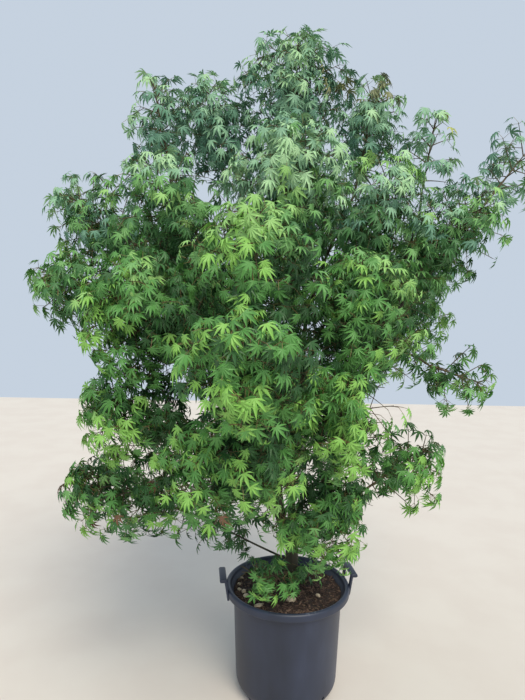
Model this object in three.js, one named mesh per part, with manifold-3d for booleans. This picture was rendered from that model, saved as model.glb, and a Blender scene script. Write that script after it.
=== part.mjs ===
// Potted Japanese maple: a green maple with many stems, in a round nursery pot with two handles.
// Millimetres, +Z up. The origin is the middle of the pot's flat underside, +X is to the right
// and +Y is away from the viewer.

import * as THREE from "three";
import Module from "manifold-3d";
import { mergeVertices } from "three/addons/utils/BufferGeometryUtils.js";

const wasm = await Module();
wasm.setup();

// Clearances
const GAP = 0.3; // between two pieces that touch on the real plant
const EDGE = 1.5; // from a leaf or twig to the edge of its own space
const LIMB_ROOM = 4; // from a leaf or twig to any trunk, stem or bough
const LIMB_STEP = 8; // spacing of the places at which that room is measured

// Pot
const POT_HEIGHT = 400;
const POT_WALL = 4;
const FOOT_RADIUS = 165;
const FOOT_HEIGHT = 16;
const SHOULDER_RADIUS = 189; // where the rounded foot meets the wall
const SHOULDER_HEIGHT = 46;
const WALL_TOP_RADIUS = 203;
const RIM_RADIUS = 233;
const RIM_DEPTH = 28; // height of the rolled rim
const RIM_ROUND = 9; // the rim's top is a half round of this radius
const POT_SIDES = 26;
const DRAIN_COUNT = 6;
const DRAIN_TURN = -47; // degrees from +X to the first drain hole
const DRAIN_WIDTH = 12;
const DRAIN_HEIGHT = 14;
const DRAIN_Z = 42;

// Handles
const HANDLE_LENGTH = 104;
const HANDLE_TURN = 7; // degrees from +X to the right handle
const HANDLE_TOP = 442;
const HANDLE_BOTTOM = 360;
const HANDLE_LEG = 17; // width of each leg
const HANDLE_PLATE = 8; // thickness of each leg
const HANDLE_LEAN = 9; // degrees that the legs lean out
const GRIP_DEPTH = 26;
const GRIP_HEIGHT = 13;
const HANDLE_INSET = 7; // how far the legs start inside the rim's widest line

// Soil
const SOIL_TOP = 374;
const SOIL_EDGE_DROP = 6;

// Trunk
const TRUNK_LINE = [[18, 0, SOIL_TOP - 5], [15, 2, 480], [12, 0, 605]]; // cut flat at the soil's top
const TRUNK_BASE_RADIUS = 27;
const TRUNK_TOP_RADIUS = 20;
const FLARE_SPREAD = 9; // extra radius of the root flare at soil level
const FLARE_HEIGHT = 55;
const FLARE_ROOTS = 5;
const TRUNK_SIDES = 10;
const TRUNK_STEPS = 6;

// Limbs: the limb each grows from and how far along, the places it passes, the mass of leaves it
// ends in, and its radius at each end. A place is [x, y, z].
const LIMBS = {
  stem_centre: {
    from: "trunk", at: 1, by: [[5, 6, 900], [-5, 2, 1340], [0, 12, 1800]],
    mass: "crown_top", radii: [16, 4.5],
  },
  stem_right: {
    from: "trunk", at: 0.72, mass: "far_right", radii: [15, 4.5],
    by: [[100, 5, 670], [190, 10, 950], [225, 10, 1180], [330, 20, 1370], [480, 45, 1530], [610, 55, 1700]],
  },
  stem_left: {
    from: "trunk", at: 0.64, mass: "leader_left", radii: [13, 4.5],
    by: [[-42, 0, 660], [-62, 0, 850], [-110, 0, 1150], [-175, 0, 1400], [-300, -5, 1600], [-440, -5, 1850]],
  },
  stem_front: {
    from: "trunk", at: 0.58, by: [[-20, -110, 650], [-60, -280, 950], [-100, -400, 1200]],
    mass: "front_upper", radii: [12, 4.5],
  },
  stem_back: {
    from: "trunk", at: 0.66, by: [[20, 110, 690], [30, 260, 1050], [30, 350, 1400]],
    mass: "back_top", radii: [13, 4.5],
  },
  stem_low_left: {
    from: "trunk", at: 0.46, by: [[-120, -20, 548], [-270, -60, 640]],
    mass: "low_left", radii: [7, 3.5],
  },
  bough_peak_left: {
    from: "stem_centre", at: 0.25, by: [[-110, 70, 1420], [-230, 110, 1750]],
    mass: "peak_left", radii: [9, 4],
  },
  bough_peak_right: {
    from: "stem_centre", at: 0.38, by: [[100, 60, 1560], [220, 90, 1850]],
    mass: "peak_right", radii: [9, 4],
  },
  bough_upper_centre: {
    from: "stem_centre", at: 0.48, by: [[-15, -80, 1520]],
    mass: "upper_centre", radii: [8, 4],
  },
  bough_centre_right: {
    from: "stem_centre", at: 0.32, by: [[110, -60, 1380]],
    mass: "centre_right", radii: [8, 4],
  },
  bough_inner_left: {
    from: "stem_left", at: 0.42, by: [[-250, -110, 1440]],
    mass: "inner_left", radii: [8, 4],
  },
  bough_left_upper: {
    from: "stem_left", at: 0.52, by: [[-400, 50, 1530]],
    mass: "left_upper", radii: [8, 4],
  },
  bough_left_tip: {
    from: "stem_left", at: 0.34, by: [[-350, -55, 1290]],
    mass: "left_tip", radii: [7, 4],
  },
  bough_centre_left: {
    from: "stem_left", at: 0.24, by: [[-190, -190, 1150]],
    mass: "centre_left", radii: [8, 4],
  },
  bough_front_left: {
    from: "stem_left", at: 0.12, by: [[-210, -130, 900]],
    mass: "front_left", radii: [7, 4],
  },
  bough_front_centre: {
    from: "stem_front", at: 0.42, by: [[-75, -420, 1060]],
    mass: "front_centre", radii: [8, 4],
  },
  bough_low_front: {
    from: "stem_front", at: 0.2, by: [[-90, -260, 790]],
    mass: "low_front", radii: [7, 4],
  },
  bough_mid_right: {
    from: "stem_right", at: 0.24, by: [[190, -110, 1130]],
    mass: "mid_right", radii: [8, 4],
  },
  bough_mid_low_right: {
    from: "stem_right", at: 0.12, by: [[110, -140, 840]],
    mass: "mid_low_right", radii: [7, 4],
  },
  bough_low_right: {
    from: "stem_right", at: 0.08, by: [[230, -20, 730]],
    mass: "low_right", radii: [7, 4],
  },
  bough_right_droop: {
    from: "stem_right", at: 0.42, by: [[400, -30, 1270]],
    mass: "right_droop", radii: [6, 4],
  },
  bough_right: {
    from: "stem_right", at: 0.46, by: [[430, -40, 1540]],
    mass: "right", radii: [7, 4],
  },
  bough_shoulder_right: {
    from: "stem_right", at: 0.56, by: [[440, 10, 1720]],
    mass: "shoulder_right", radii: [7, 4],
  },
  bough_back_left: {
    from: "stem_back", at: 0.28, by: [[-160, 290, 1130]],
    mass: "back_left", radii: [9, 4.5],
  },
  bough_back_right: {
    from: "stem_back", at: 0.34, by: [[210, 320, 1180]],
    mass: "back_right", radii: [9, 4.5],
  },
  bough_back_low: {
    from: "stem_back", at: 0.12, by: [[30, 210, 780]],
    mass: "back_low", radii: [8, 4],
  },
};
const LIMB_SIDES = 5;
const LIMB_STRIDE = 170; // length of a limb between two rings of corners

// Masses of leaves: the middle of each, and its half widths along X, Y and Z
const MASSES = {
  crown_top: { middle: [0, 50, 2235], half: [258, 215, 213] },
  leader_left: { middle: [-490, 0, 2090], half: [124, 150, 195] },
  far_right: { middle: [810, 50, 1965], half: [104, 160, 225] },
  front_upper: { middle: [-130, -550, 1530], half: [207, 241, 172] },
  back_top: { middle: [40, 450, 1900], half: [368, 276, 345] },
  low_left: { middle: [-545, -120, 775], half: [282, 207, 172] },
  peak_left: { middle: [-305, 120, 2118], half: [195, 218, 208] },
  peak_right: { middle: [280, 100, 2118], half: [150, 200, 207] },
  upper_centre: { middle: [-30, -220, 1820], half: [241, 253, 218] },
  centre_right: { middle: [265, -120, 1750], half: [207, 230, 218] },
  inner_left: { middle: [-410, -200, 1730], half: [230, 241, 218] },
  left_upper: { middle: [-725, 80, 1755], half: [212, 220, 210] },
  left_tip: { middle: [-740, -110, 1485], half: [178, 190, 170] },
  centre_left: { middle: [-430, -420, 1385], half: [208, 241, 195] },
  front_left: { middle: [-490, -310, 1092], half: [172, 218, 188] },
  front_centre: { middle: [-140, -680, 1280], half: [195, 230, 172] },
  low_front: { middle: [-200, -500, 990], half: [218, 241, 178] },
  mid_right: { middle: [185, -280, 1410], half: [230, 241, 218] },
  mid_low_right: { middle: [135, -340, 1090], half: [201, 230, 195] },
  low_right: { middle: [385, -50, 855], half: [172, 192, 195] },
  right_droop: { middle: [585, -80, 1205], half: [112, 122, 155] },
  right: { middle: [580, -30, 1735], half: [192, 201, 192] },
  shoulder_right: { middle: [480, 10, 1975], half: [105, 130, 190] },
  back_left: { middle: [-460, 430, 1520], half: [368, 288, 356] },
  back_right: { middle: [470, 430, 1500], half: [368, 288, 356] },
  back_low: { middle: [20, 440, 1000], half: [425, 299, 310] },
  low_centre: { middle: [92, -120, 695], half: [286, 230, 188], from: "trunk", at: 0.82 },
  skirt: { middle: [-50, -115, 480], half: [161, 103, 98], from: "trunk", at: 0.3 },
};

const NEAR = 1.2; // times the reach of two masses, within which they are neighbours
const SEED_STEP = 7919; // between the seeds of two masses

// Twigs
const STEM_RADII = [6, 4.4];
const STEM_SIDES = 4;
const STEM_STEPS = 3;
const STEM_FILL = 0.7; // share of the way to the far edge that a mass's stem reaches
const TWIG_RADII = [2.8, 2];
const TWIG_SPACING = 31; // length of stem for each pair of twigs
const TWIG_SPREAD = [85, 40]; // degrees from the stem, for the first and the last pair
const TWIG_STRAY = 26; // degrees round the stem by which a pair may stray
const TWIG_PARTS = [0.8, 0.66, 0.52, 0.9, 0.38]; // of the way to the edge, tried in turn

// Leaves
const LEAF_LENGTH = 0.87; // of its mass's mean half width
const LEAF_LARGEST = 200; // the largest mean half width that a leaf is sized for
const LEAF_SIZES = [1, 0.9, 0.8, 0.7, 0.6]; // tried in turn, until a leaf keeps to its space
const LEAF_TURNS = [0, 36, -36, 72, -72, 108, -108, 180]; // degrees round its root, tried at each size
const LEAF_ALONG = 0.3; // how far it faces along its twig, against out of its mass
const LEAF_TILT = 70; // degrees by which a leaf's face may tilt from facing out
const LEAF_FACE_UP = 0.35; // how far its face turns up, against out
const LEAF_OUT = 0.6; // how far its tip points out
const LEAF_HANG = 0.8; // how far its tip points down
const LEAF_ROOM = 0.05; // of its length, kept clear of the limbs besides the limbs' own room
const LEAF_THICK = 0.05; // of its length, at the middle
const LEAF_DROOP = 0.045; // of its length, that the tips hang below the notches
const LOBE_ANGLES = [-112, -56, 0, 56, 112];
const LOBE_LENGTHS = [0.66, 0.9, 1, 0.9, 0.66];
const NOTCH_LENGTH = 0.43;
const BASE_LENGTH = 0.14; // behind the middle, between the two hind lobes
const LEAF_ROOT = [-0.02, 0.018]; // where its twig ends, along the leaf and above its notches

// Colours, roughness and metalness
const MATERIALS = {
  plastic: [0x39414f, 0.55, 0],
  compost: [0x3a2a20, 0.95, 0],
  bark: [0x5b5544, 0.85, 0],
  young_bark: [0x6d6a44, 0.8, 0],
  leaf: [0x4f8a35, 0.6, 0],
  leaf_bright: [0x7fb13f, 0.6, 0],
  leaf_deep: [0x3b6f3a, 0.6, 0],
};
const BRIGHT = ["front_upper", "front_centre", "low_front", "front_left", "centre_left"];
const DEEP = ["crown_top", "peak_left", "peak_right", "leader_left", "upper_centre", "centre_right"];

const UP = new THREE.Vector3(0, 0, 1);

// A whole number's fixed chance from 0 to 1 at place k
function chance(seed, k) {
  let mixed = Math.imul(seed ^ Math.imul(k + 1, 0x9e3779b1), 0x85ebca6b) >>> 0;
  mixed = Math.imul(mixed ^ (mixed >>> 13), 0xc2b2ae35) >>> 0;
  return ((mixed ^ (mixed >>> 16)) >>> 0) / 4294967296;
}

function vector(place) {
  return new THREE.Vector3(...place);
}

function smoothCurve(places) {
  return new THREE.CatmullRomCurve3(places, false, "catmullrom", 0.5);
}

// A closed solid from a geometry, with its faces pointing out
function solidOf(geometry) {
  const bare = geometry.clone();
  bare.deleteAttribute("normal");
  bare.deleteAttribute("uv");
  const merged = mergeVertices(bare, 1e-4);
  const corners = merged.index.array;
  const faces = [];
  for (let i = 0; i < corners.length; i += 3) {
    const [a, b, c] = corners.slice(i, i + 3);
    if (a !== b && b !== c && c !== a) faces.push(a, b, c);
  }
  const made = manifoldOf(merged.attributes.position.array, faces);
  return made.volume() > 0 ? made : manifoldOf(merged.attributes.position.array, faces.reverse());
}

function manifoldOf(positions, faces) {
  const triVerts = Uint32Array.from(faces);
  return new wasm.Manifold(new wasm.Mesh({ numProp: 3, vertProperties: positions, triVerts }));
}

// The largest single body of a solid: scraps and sealed hollows are left out
function largestBody(solid) {
  const bodies = solid.simplify(0.02).decompose();
  bodies.sort((one, other) => other.volume() - one.volume());
  return bodies[0];
}

// The corners of every face, with the largest faces first
function facesBySize(mesh) {
  const corner = (i) => new THREE.Vector3().fromArray(mesh.vertProperties, 3 * mesh.triVerts[i]);
  const faces = Array.from({ length: mesh.triVerts.length / 3 }, (_, i) => {
    const triangle = new THREE.Triangle(corner(3 * i), corner(3 * i + 1), corner(3 * i + 2));
    return { area: triangle.getArea(), corners: [...mesh.triVerts.slice(3 * i, 3 * i + 3)] };
  });
  return faces.sort((one, other) => other.area - one.area).flatMap((face) => face.corners);
}

function geometryOf(solid) {
  const mesh = solid.getMesh();
  const geometry = new THREE.BufferGeometry();
  geometry.setAttribute("position", new THREE.BufferAttribute(mesh.vertProperties, 3));
  geometry.setIndex(facesBySize(mesh));
  geometry.computeVertexNormals();
  return geometry;
}

function meshOf(name, solid, materialName) {
  const [color, roughness, metalness] = MATERIALS[materialName];
  const material = new THREE.MeshStandardMaterial({ color, roughness, metalness });
  const mesh = new THREE.Mesh(geometryOf(solid), material);
  mesh.name = name;
  return mesh;
}

// Pot

function turned(profile) {
  const points = profile.map(([radius, height]) => new THREE.Vector2(radius, height));
  return new THREE.LatheGeometry(points, POT_SIDES).rotateX(Math.PI / 2);
}

// A round part of the profile: from angle a to angle b about a centre, in degrees
function arc(centreRadius, centreHeight, size, a, b, steps) {
  return Array.from({ length: steps + 1 }, (_, i) => {
    const angle = THREE.MathUtils.degToRad(a + ((b - a) * i) / steps);
    return [centreRadius + size * Math.cos(angle), centreHeight + size * Math.sin(angle)];
  });
}

// The pot's section, grown on every side by spare
function potProfile(spare = 0) {
  const rimFoot = POT_HEIGHT - RIM_DEPTH;
  return [
    [0, -spare],
    [FOOT_RADIUS + spare, -spare],
    [FOOT_RADIUS + 7 + spare, FOOT_HEIGHT],
    [FOOT_RADIUS + 18 + spare, FOOT_HEIGHT + 14],
    [SHOULDER_RADIUS + spare, SHOULDER_HEIGHT],
    [WALL_TOP_RADIUS + spare, rimFoot - 8 - spare],
    [WALL_TOP_RADIUS + 5 + spare, rimFoot - spare],
    [RIM_RADIUS - 5, rimFoot - spare],
    [RIM_RADIUS + spare, rimFoot + 5],
    ...arc(RIM_RADIUS - RIM_ROUND, POT_HEIGHT - RIM_ROUND, RIM_ROUND + spare, 0, 180, 6),
    [WALL_TOP_RADIUS + 4 - spare, rimFoot + 5],
    [WALL_TOP_RADIUS - POT_WALL - spare, rimFoot - 8],
    [SHOULDER_RADIUS - POT_WALL - spare, SHOULDER_HEIGHT],
    [FOOT_RADIUS + 14 - spare, FOOT_HEIGHT + 14],
    [FOOT_RADIUS - 1 - spare, POT_WALL + spare],
    [0, POT_WALL + spare],
  ];
}

function drainCutters() {
  return Array.from({ length: DRAIN_COUNT }, (_, i) => {
    const cutter = new THREE.CylinderGeometry(1, 1, 50, 6);
    cutter.rotateZ(Math.PI / 2).scale(1, DRAIN_WIDTH / 2, DRAIN_HEIGHT / 2);
    cutter.translate(SHOULDER_RADIUS - 8, 0, DRAIN_Z);
    cutter.rotateZ(THREE.MathUtils.degToRad(DRAIN_TURN + (360 / DRAIN_COUNT) * i));
    return solidOf(cutter);
  });
}

function pot() {
  const shell = solidOf(turned(potProfile()));
  return shell.subtract(wasm.Manifold.union(drainCutters()));
}

// Handles

// A leg plate in the Y and Z plane, thick along X, with its foot rounded
function handleLeg(side) {
  const shape = new THREE.Shape();
  const half = HANDLE_LEG / 2;
  shape.moveTo(-half, HANDLE_TOP - GRIP_HEIGHT / 2);
  shape.lineTo(-half, HANDLE_BOTTOM + half);
  shape.absarc(0, HANDLE_BOTTOM + half, half, Math.PI, Math.PI * 2);
  shape.lineTo(half, HANDLE_TOP - GRIP_HEIGHT / 2);
  const extrusion = { depth: HANDLE_PLATE, bevelEnabled: false, curveSegments: 3 };
  const leg = new THREE.ExtrudeGeometry(shape, extrusion);
  leg.rotateX(Math.PI / 2).rotateZ(Math.PI / 2);
  leg.translate(0, (side * (HANDLE_LENGTH - HANDLE_LEG)) / 2, 0);
  return solidOf(leg);
}

function handleGrip() {
  const round = GRIP_HEIGHT / 2;
  const shape = new THREE.Shape();
  shape.absarc(round, 0, round, Math.PI / 2, (Math.PI * 3) / 2);
  shape.absarc(GRIP_DEPTH - round, 0, round, -Math.PI / 2, Math.PI / 2);
  const extrusion = { depth: HANDLE_LENGTH, bevelEnabled: false, curveSegments: 5 };
  const grip = new THREE.ExtrudeGeometry(shape, extrusion);
  grip.rotateX(Math.PI / 2).translate(0, HANDLE_LENGTH / 2, HANDLE_TOP - round);
  return solidOf(grip);
}

function handle(turn) {
  const lean = new THREE.Matrix4().makeTranslation(RIM_RADIUS - HANDLE_INSET, 0, POT_HEIGHT - RIM_DEPTH / 2);
  lean.multiply(new THREE.Matrix4().makeRotationY(THREE.MathUtils.degToRad(HANDLE_LEAN)));
  lean.multiply(new THREE.Matrix4().makeTranslation(0, 0, RIM_DEPTH / 2 - POT_HEIGHT));
  const legs = handleLeg(1).add(handleLeg(-1)).transform(lean.elements);
  const outward = Math.tan(THREE.MathUtils.degToRad(HANDLE_LEAN)) * (HANDLE_TOP - POT_HEIGHT);
  const grip = handleGrip().translate(RIM_RADIUS - HANDLE_INSET + outward, 0, 0);
  const placed = legs.add(grip).rotate([0, 0, turn]);
  return largestBody(placed.subtract(solidOf(turned(potProfile(GAP)))));
}

// Soil

function soil() {
  const wall = (height) => {
    const share = (height - SHOULDER_HEIGHT) / (POT_HEIGHT - RIM_DEPTH - 8 - SHOULDER_HEIGHT);
    return THREE.MathUtils.lerp(SHOULDER_RADIUS, WALL_TOP_RADIUS, share) - POT_WALL - GAP - 0.1;
  };
  const edge = SOIL_TOP - SOIL_EDGE_DROP;
  return solidOf(turned([
    [0, POT_WALL + GAP],
    [FOOT_RADIUS - 2, POT_WALL + GAP],
    [FOOT_RADIUS + 13, FOOT_HEIGHT + 14.5],
    [wall(SHOULDER_HEIGHT), SHOULDER_HEIGHT + 0.5],
    [wall(edge), edge],
    [wall(edge) * 0.6, SOIL_TOP],
    [0, SOIL_TOP],
  ]));
}

// Trunk and limbs

// A tapering tube along a curve. radiusAt gives the radius at a share of its length and an angle.
function limbSolid(curve, radiusAt, sides, steps) {
  const tube = new THREE.CylinderGeometry(1, 1, 1, sides, steps);
  tube.rotateY(Math.PI / sides);
  const corners = tube.attributes.position;
  for (let i = 0; i < corners.count; i++) {
    const ring = Math.round((corners.getY(i) + 0.5) * steps);
    const share = ring / steps;
    const [sideways, upward] = [corners.getX(i), corners.getZ(i)];
    const radius = radiusAt(share, Math.atan2(upward, sideways));
    const [side, rise] = acrossAt(curve, share);
    const place = curve.getPointAt(share);
    place.addScaledVector(side, sideways * radius).addScaledVector(rise, upward * radius);
    corners.setXYZ(i, place.x, place.y, place.z);
  }
  return solidOf(tube);
}

function trunkRadius(share, angle, spare = 0) {
  const height = share * (TRUNK_LINE[2][2] - TRUNK_LINE[0][2]);
  const flare = Math.exp(-height / (FLARE_HEIGHT / 2.2));
  const lobes = 0.65 + 0.35 * Math.cos(FLARE_ROOTS * angle);
  const round = THREE.MathUtils.lerp(TRUNK_BASE_RADIUS, TRUNK_TOP_RADIUS, share);
  return round + FLARE_SPREAD * flare * lobes + spare;
}

// A limb's places along its length, each with its radius, for measuring the room round it
function sampleLimb(curve, radii) {
  const count = Math.ceil(curve.getLength() / LIMB_STEP);
  return Array.from({ length: count + 1 }, (_, i) => {
    const share = i / count;
    return { place: curve.getPointAt(share), radius: THREE.MathUtils.lerp(radii[0], radii[1], share) };
  });
}

function groundBlock() {
  const depth = 50;
  const block = new THREE.BoxGeometry(200, 200, depth);
  return solidOf(block.translate(0, 0, SOIL_TOP + GAP - depth / 2));
}

function makeTrunk() {
  const curve = smoothCurve(TRUNK_LINE.map(vector));
  const radii = [TRUNK_BASE_RADIUS + FLARE_SPREAD, TRUNK_TOP_RADIUS];
  const grownBy = (spare) => {
    const radiusAt = (share, angle) => trunkRadius(share, angle, spare);
    return limbSolid(curve, radiusAt, TRUNK_SIDES, TRUNK_STEPS);
  };
  const solid = grownBy(0).subtract(groundBlock());
  return { curve, solid, cutter: grownBy(GAP), samples: sampleLimb(curve, radii) };
}

// A limb starts inside its parent, passes its places and ends flat where it enters its mass
function makeLimb(plan, grown) {
  const parent = grown[plan.from];
  const start = parent.curve.getPointAt(Math.min(plan.at, 0.98));
  const places = plan.by.map(vector);
  const mass = MASSES[plan.mass];
  const inward = vector(mass.middle).sub(places.at(-1)).normalize();
  const curve = smoothCurve([start, ...places, entryPoint(mass, inward)]);
  const steps = Math.max(3, Math.round(curve.getLength() / LIMB_STRIDE));
  const radiusAt = (share) => THREE.MathUtils.lerp(plan.radii[0], plan.radii[1], share);
  const whole = limbSolid(curve, radiusAt, LIMB_SIDES, steps);
  const cutter = limbSolid(curve, (share) => radiusAt(share) + GAP, LIMB_SIDES, steps);
  const past = parent.curve.getTangentAt(1).multiplyScalar(GAP).toArray();
  const solid = largestBody(whole.subtract(parent.cutter).subtract(parent.cutter.translate(past)));
  return { curve, solid, cutter, samples: sampleLimb(curve, plan.radii) };
}

// Spaces of the masses

// Two masses that meet share a flat border, nearer to the smaller one
function borderRoom(mass, other, place) {
  const power = (one) => place.distanceToSquared(one.centre) - one.size ** 2;
  return (power(other) - power(mass)) / (2 * mass.centre.distanceTo(other.centre));
}

function clearOfPot(place, room) {
  if (place.z > POT_HEIGHT + 8 + room) return true;
  return place.z > SOIL_TOP + 2 + room && Math.hypot(place.x, place.y) < WALL_TOP_RADIUS - 14 - room;
}

function inSpace(mass, place, room = EDGE) {
  const away = place.clone().sub(mass.centre);
  const [a, b, c] = mass.half.map((half) => half - room);
  if ((away.x / a) ** 2 + (away.y / b) ** 2 + (away.z / c) ** 2 > 1) return false;
  if (!clearOfPot(place, room)) return false;
  return mass.neighbours.every((other) => borderRoom(mass, other, place) > room);
}

// How far one can go from a place before leaving the space
function roomAlong(mass, place, direction, step = 6) {
  const probe = place.clone();
  let distance = 0;
  while (inSpace(mass, probe) && distance < 1000) {
    probe.addScaledVector(direction, step);
    distance += step;
  }
  return Math.max(distance - step, 0);
}

// Where a limb that heads inward along a direction enters the space of its mass
function entryPoint(mass, inward) {
  const back = roomAlong(mass, mass.centre, inward.clone().negate());
  return mass.centre.clone().addScaledVector(inward, -0.9 * back);
}

function prepareMasses() {
  const all = Object.values(MASSES);
  all.forEach((mass, index) => {
    mass.centre = vector(mass.middle);
    mass.size = Math.cbrt(mass.half[0] * mass.half[1] * mass.half[2]);
    mass.leaf = LEAF_LENGTH * Math.min(mass.size, LEAF_LARGEST);
    mass.seed = SEED_STEP * (index + 1);
  });
  all.forEach((mass) => {
    const reach = (other) => NEAR * (Math.max(...mass.half) + Math.max(...other.half));
    const near = (other) => mass.centre.distanceTo(other.centre) < reach(other);
    mass.neighbours = all.filter((other) => other !== mass && near(other));
  });
}

// Growth of twigs and leaves inside a space

function roomToLimbs(place, limbSamples) {
  return Math.min(...limbSamples.map((sample) => place.distanceTo(sample.place) - sample.radius));
}

function samplesNear(mass, limbSamples) {
  const reach = Math.max(...mass.half) + TRUNK_BASE_RADIUS + LIMB_ROOM + 20;
  return limbSamples.filter((sample) => sample.place.distanceTo(mass.centre) < reach);
}

// The part of a straight run that keeps clear of the limbs
function clearRun(start, direction, length, limbSamples, radius) {
  const probe = start.clone();
  for (let gone = 0; gone <= length; gone += LIMB_STEP) {
    if (roomToLimbs(probe, limbSamples) < radius + LIMB_ROOM) return Math.max(gone - LIMB_STEP, 0);
    probe.addScaledVector(direction, LIMB_STEP);
  }
  return length;
}

// The stem of a mass goes on from its bough's tip, through the middle, towards the far edge
function massStem(mass, { start, heading, free }, limbSamples) {
  const through = mass.centre.clone().sub(start).normalize().lerp(heading, 0.5).normalize();
  const length = STEM_FILL * roomAlong(mass, mass.centre, through) + start.distanceTo(mass.centre);
  const outside = start.clone().addScaledVector(heading, free);
  const clear = clearRun(outside, through, length, limbSamples, STEM_RADII[0]);
  const bend = start.clone().addScaledVector(heading, 0.3 * clear);
  return smoothCurve([start, bend, start.clone().addScaledVector(through, clear)]);
}

// Two level directions across a heading
function across(heading) {
  const away = Math.abs(heading.z) > 0.97 ? new THREE.Vector3(0, 1, 0) : UP;
  const side = new THREE.Vector3().crossVectors(heading, away).normalize();
  return [side, new THREE.Vector3().crossVectors(side, heading).normalize()];
}

// The same two directions, carried along a curve from its start without a twist
function acrossAt(curve, share) {
  const heading = curve.getTangentAt(share);
  const [side] = across(curve.getTangentAt(0));
  side.addScaledVector(heading, -side.dot(heading)).normalize();
  return [side, new THREE.Vector3().crossVectors(side, heading).normalize()];
}

// A pair of opposite twigs; each pair stands across the pair before it
function twigHeadings(stem, pair, share, seed) {
  const heading = stem.getTangentAt(share);
  const [side, rise] = acrossAt(stem, share);
  const turn = THREE.MathUtils.degToRad(90 * pair + TWIG_STRAY * (chance(seed, pair) - 0.5));
  const spread = THREE.MathUtils.degToRad(THREE.MathUtils.lerp(...TWIG_SPREAD, share));
  const outward = side.multiplyScalar(Math.cos(turn)).addScaledVector(rise, Math.sin(turn));
  return [1, -1].map((sign) => heading.clone().multiplyScalar(Math.cos(spread))
    .addScaledVector(outward, sign * Math.sin(spread)).normalize());
}

// The corners of a leaf in turn round its middle: its base, and then a lobe, a notch, a lobe and so on
function leafRim() {
  const rim = [[180, BASE_LENGTH, 0]];
  LOBE_ANGLES.forEach((angle, i) => {
    rim.push([angle, LOBE_LENGTHS[i], -LEAF_DROOP * LOBE_LENGTHS[i]]);
    if (i < LOBE_ANGLES.length - 1) rim.push([(angle + LOBE_ANGLES[i + 1]) / 2, NOTCH_LENGTH, 0]);
  });
  return rim.map(([angle, length, rise]) => {
    const turn = THREE.MathUtils.degToRad(angle);
    return [length * Math.cos(turn), length * Math.sin(turn), rise];
  });
}

// A leaf lies like a tile on the outside of its mass: its face turned out and up, its tip hanging
function leafFrame(outward, seed, turn) {
  const normal = outward.clone().addScaledVector(UP, LEAF_FACE_UP).normalize();
  const [side, rise] = across(normal);
  const tilt = (k) => THREE.MathUtils.degToRad(LEAF_TILT) * (chance(seed, k) - 0.5);
  normal.addScaledVector(side, tilt(1)).addScaledVector(rise, tilt(2)).normalize();
  const axis = outward.clone().setZ(0).multiplyScalar(LEAF_OUT).addScaledVector(UP, -LEAF_HANG);
  axis.addScaledVector(side, LEAF_OUT * (chance(seed, 3) - 0.5));
  axis.addScaledVector(normal, -axis.dot(normal)).normalize();
  axis.applyAxisAngle(normal, THREE.MathUtils.degToRad(turn));
  return { axis, side: new THREE.Vector3().crossVectors(normal, axis), normal };
}

// A leaf's corner, with the leaf moved so that its twig ends inside it
function leafCorner(frame, size, [along, sideways, rise]) {
  return frame.root.clone().addScaledVector(frame.axis, size * (along - LEAF_ROOT[0]))
    .addScaledVector(frame.side, size * sideways)
    .addScaledVector(frame.normal, size * (rise - LEAF_ROOT[1]));
}

// Whether a leaf keeps to its space and clear of the limbs
function leafFits(mass, frame, size, limbSamples) {
  return RIM.every((corner) => {
    const tip = leafCorner(frame, size, corner);
    const halfway = tip.clone().lerp(frame.root, 0.5);
    const clear = (place) => roomToLimbs(place, limbSamples) > LIMB_ROOM + LEAF_ROOM * size;
    return inSpace(mass, tip) && clear(tip) && clear(halfway);
  });
}

// Lobes round a raised middle. Below, each lobe is one face, and a flat web joins base and notches.
function leafSolid(frame, size) {
  const corners = RIM.map((corner) => leafCorner(frame, size, corner));
  const middle = leafCorner(frame, size, [0, 0, LEAF_THICK]);
  const positions = [...corners, middle].flatMap((corner) => corner.toArray());
  const count = corners.length;
  const faces = corners.flatMap((_, i) => [i, (i + 1) % count, count]);
  for (let tip = 1; tip < count; tip += 2) faces.push((tip + 1) % count, tip, tip - 1);
  for (let notch = 4; notch < count; notch += 2) faces.push(0, notch, notch - 2);
  const made = manifoldOf(Float32Array.from(positions), faces);
  return made.volume() > 0 ? made : manifoldOf(Float32Array.from(positions), faces.reverse());
}

function touchesAny(solid, others) {
  return others.some((other) => !solid.intersect(other).isEmpty());
}

// Every way to set a twig of this length and a leaf of this size, in the order they are tried
function twigTries(mass, { start, direction, room, parts, seed }) {
  const tries = [];
  for (const size of LEAF_SIZES.map((share) => share * mass.leaf)) {
    for (const part of parts) {
      const root = start.clone().addScaledVector(direction, part * room);
      const outward = root.clone().sub(mass.centre).divide(vector(mass.half)).normalize();
      outward.lerp(direction, LEAF_ALONG);
      LEAF_TURNS.forEach((turn) => tries.push({ size, frame: { root, ...leafFrame(outward, seed, turn) } }));
    }
  }
  return tries;
}

// The first twig and leaf that fit the space and touch nothing but the stem that bears the twig
function growTwig(mass, place, stem, taken, limbSamples) {
  for (const { size, frame } of twigTries(mass, place)) {
    if (!leafFits(mass, frame, size, limbSamples)) continue;
    const leaf = leafSolid(frame, size);
    const onStem = place.room === 0;
    const twig = onStem ? [] : [twigSolid(place.start, frame.root, TWIG_RADII)];
    const leafClear = !touchesAny(leaf, onStem ? taken : [stem, ...taken]);
    if (leafClear && !twig.some((one) => touchesAny(one, taken))) return [...twig, leaf];
  }
  return [];
}

function twigSolid(start, end, radii) {
  const line = new THREE.LineCurve3(start, end);
  return limbSolid(line, (share) => THREE.MathUtils.lerp(radii[0], radii[1], share), 3, 1);
}

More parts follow.
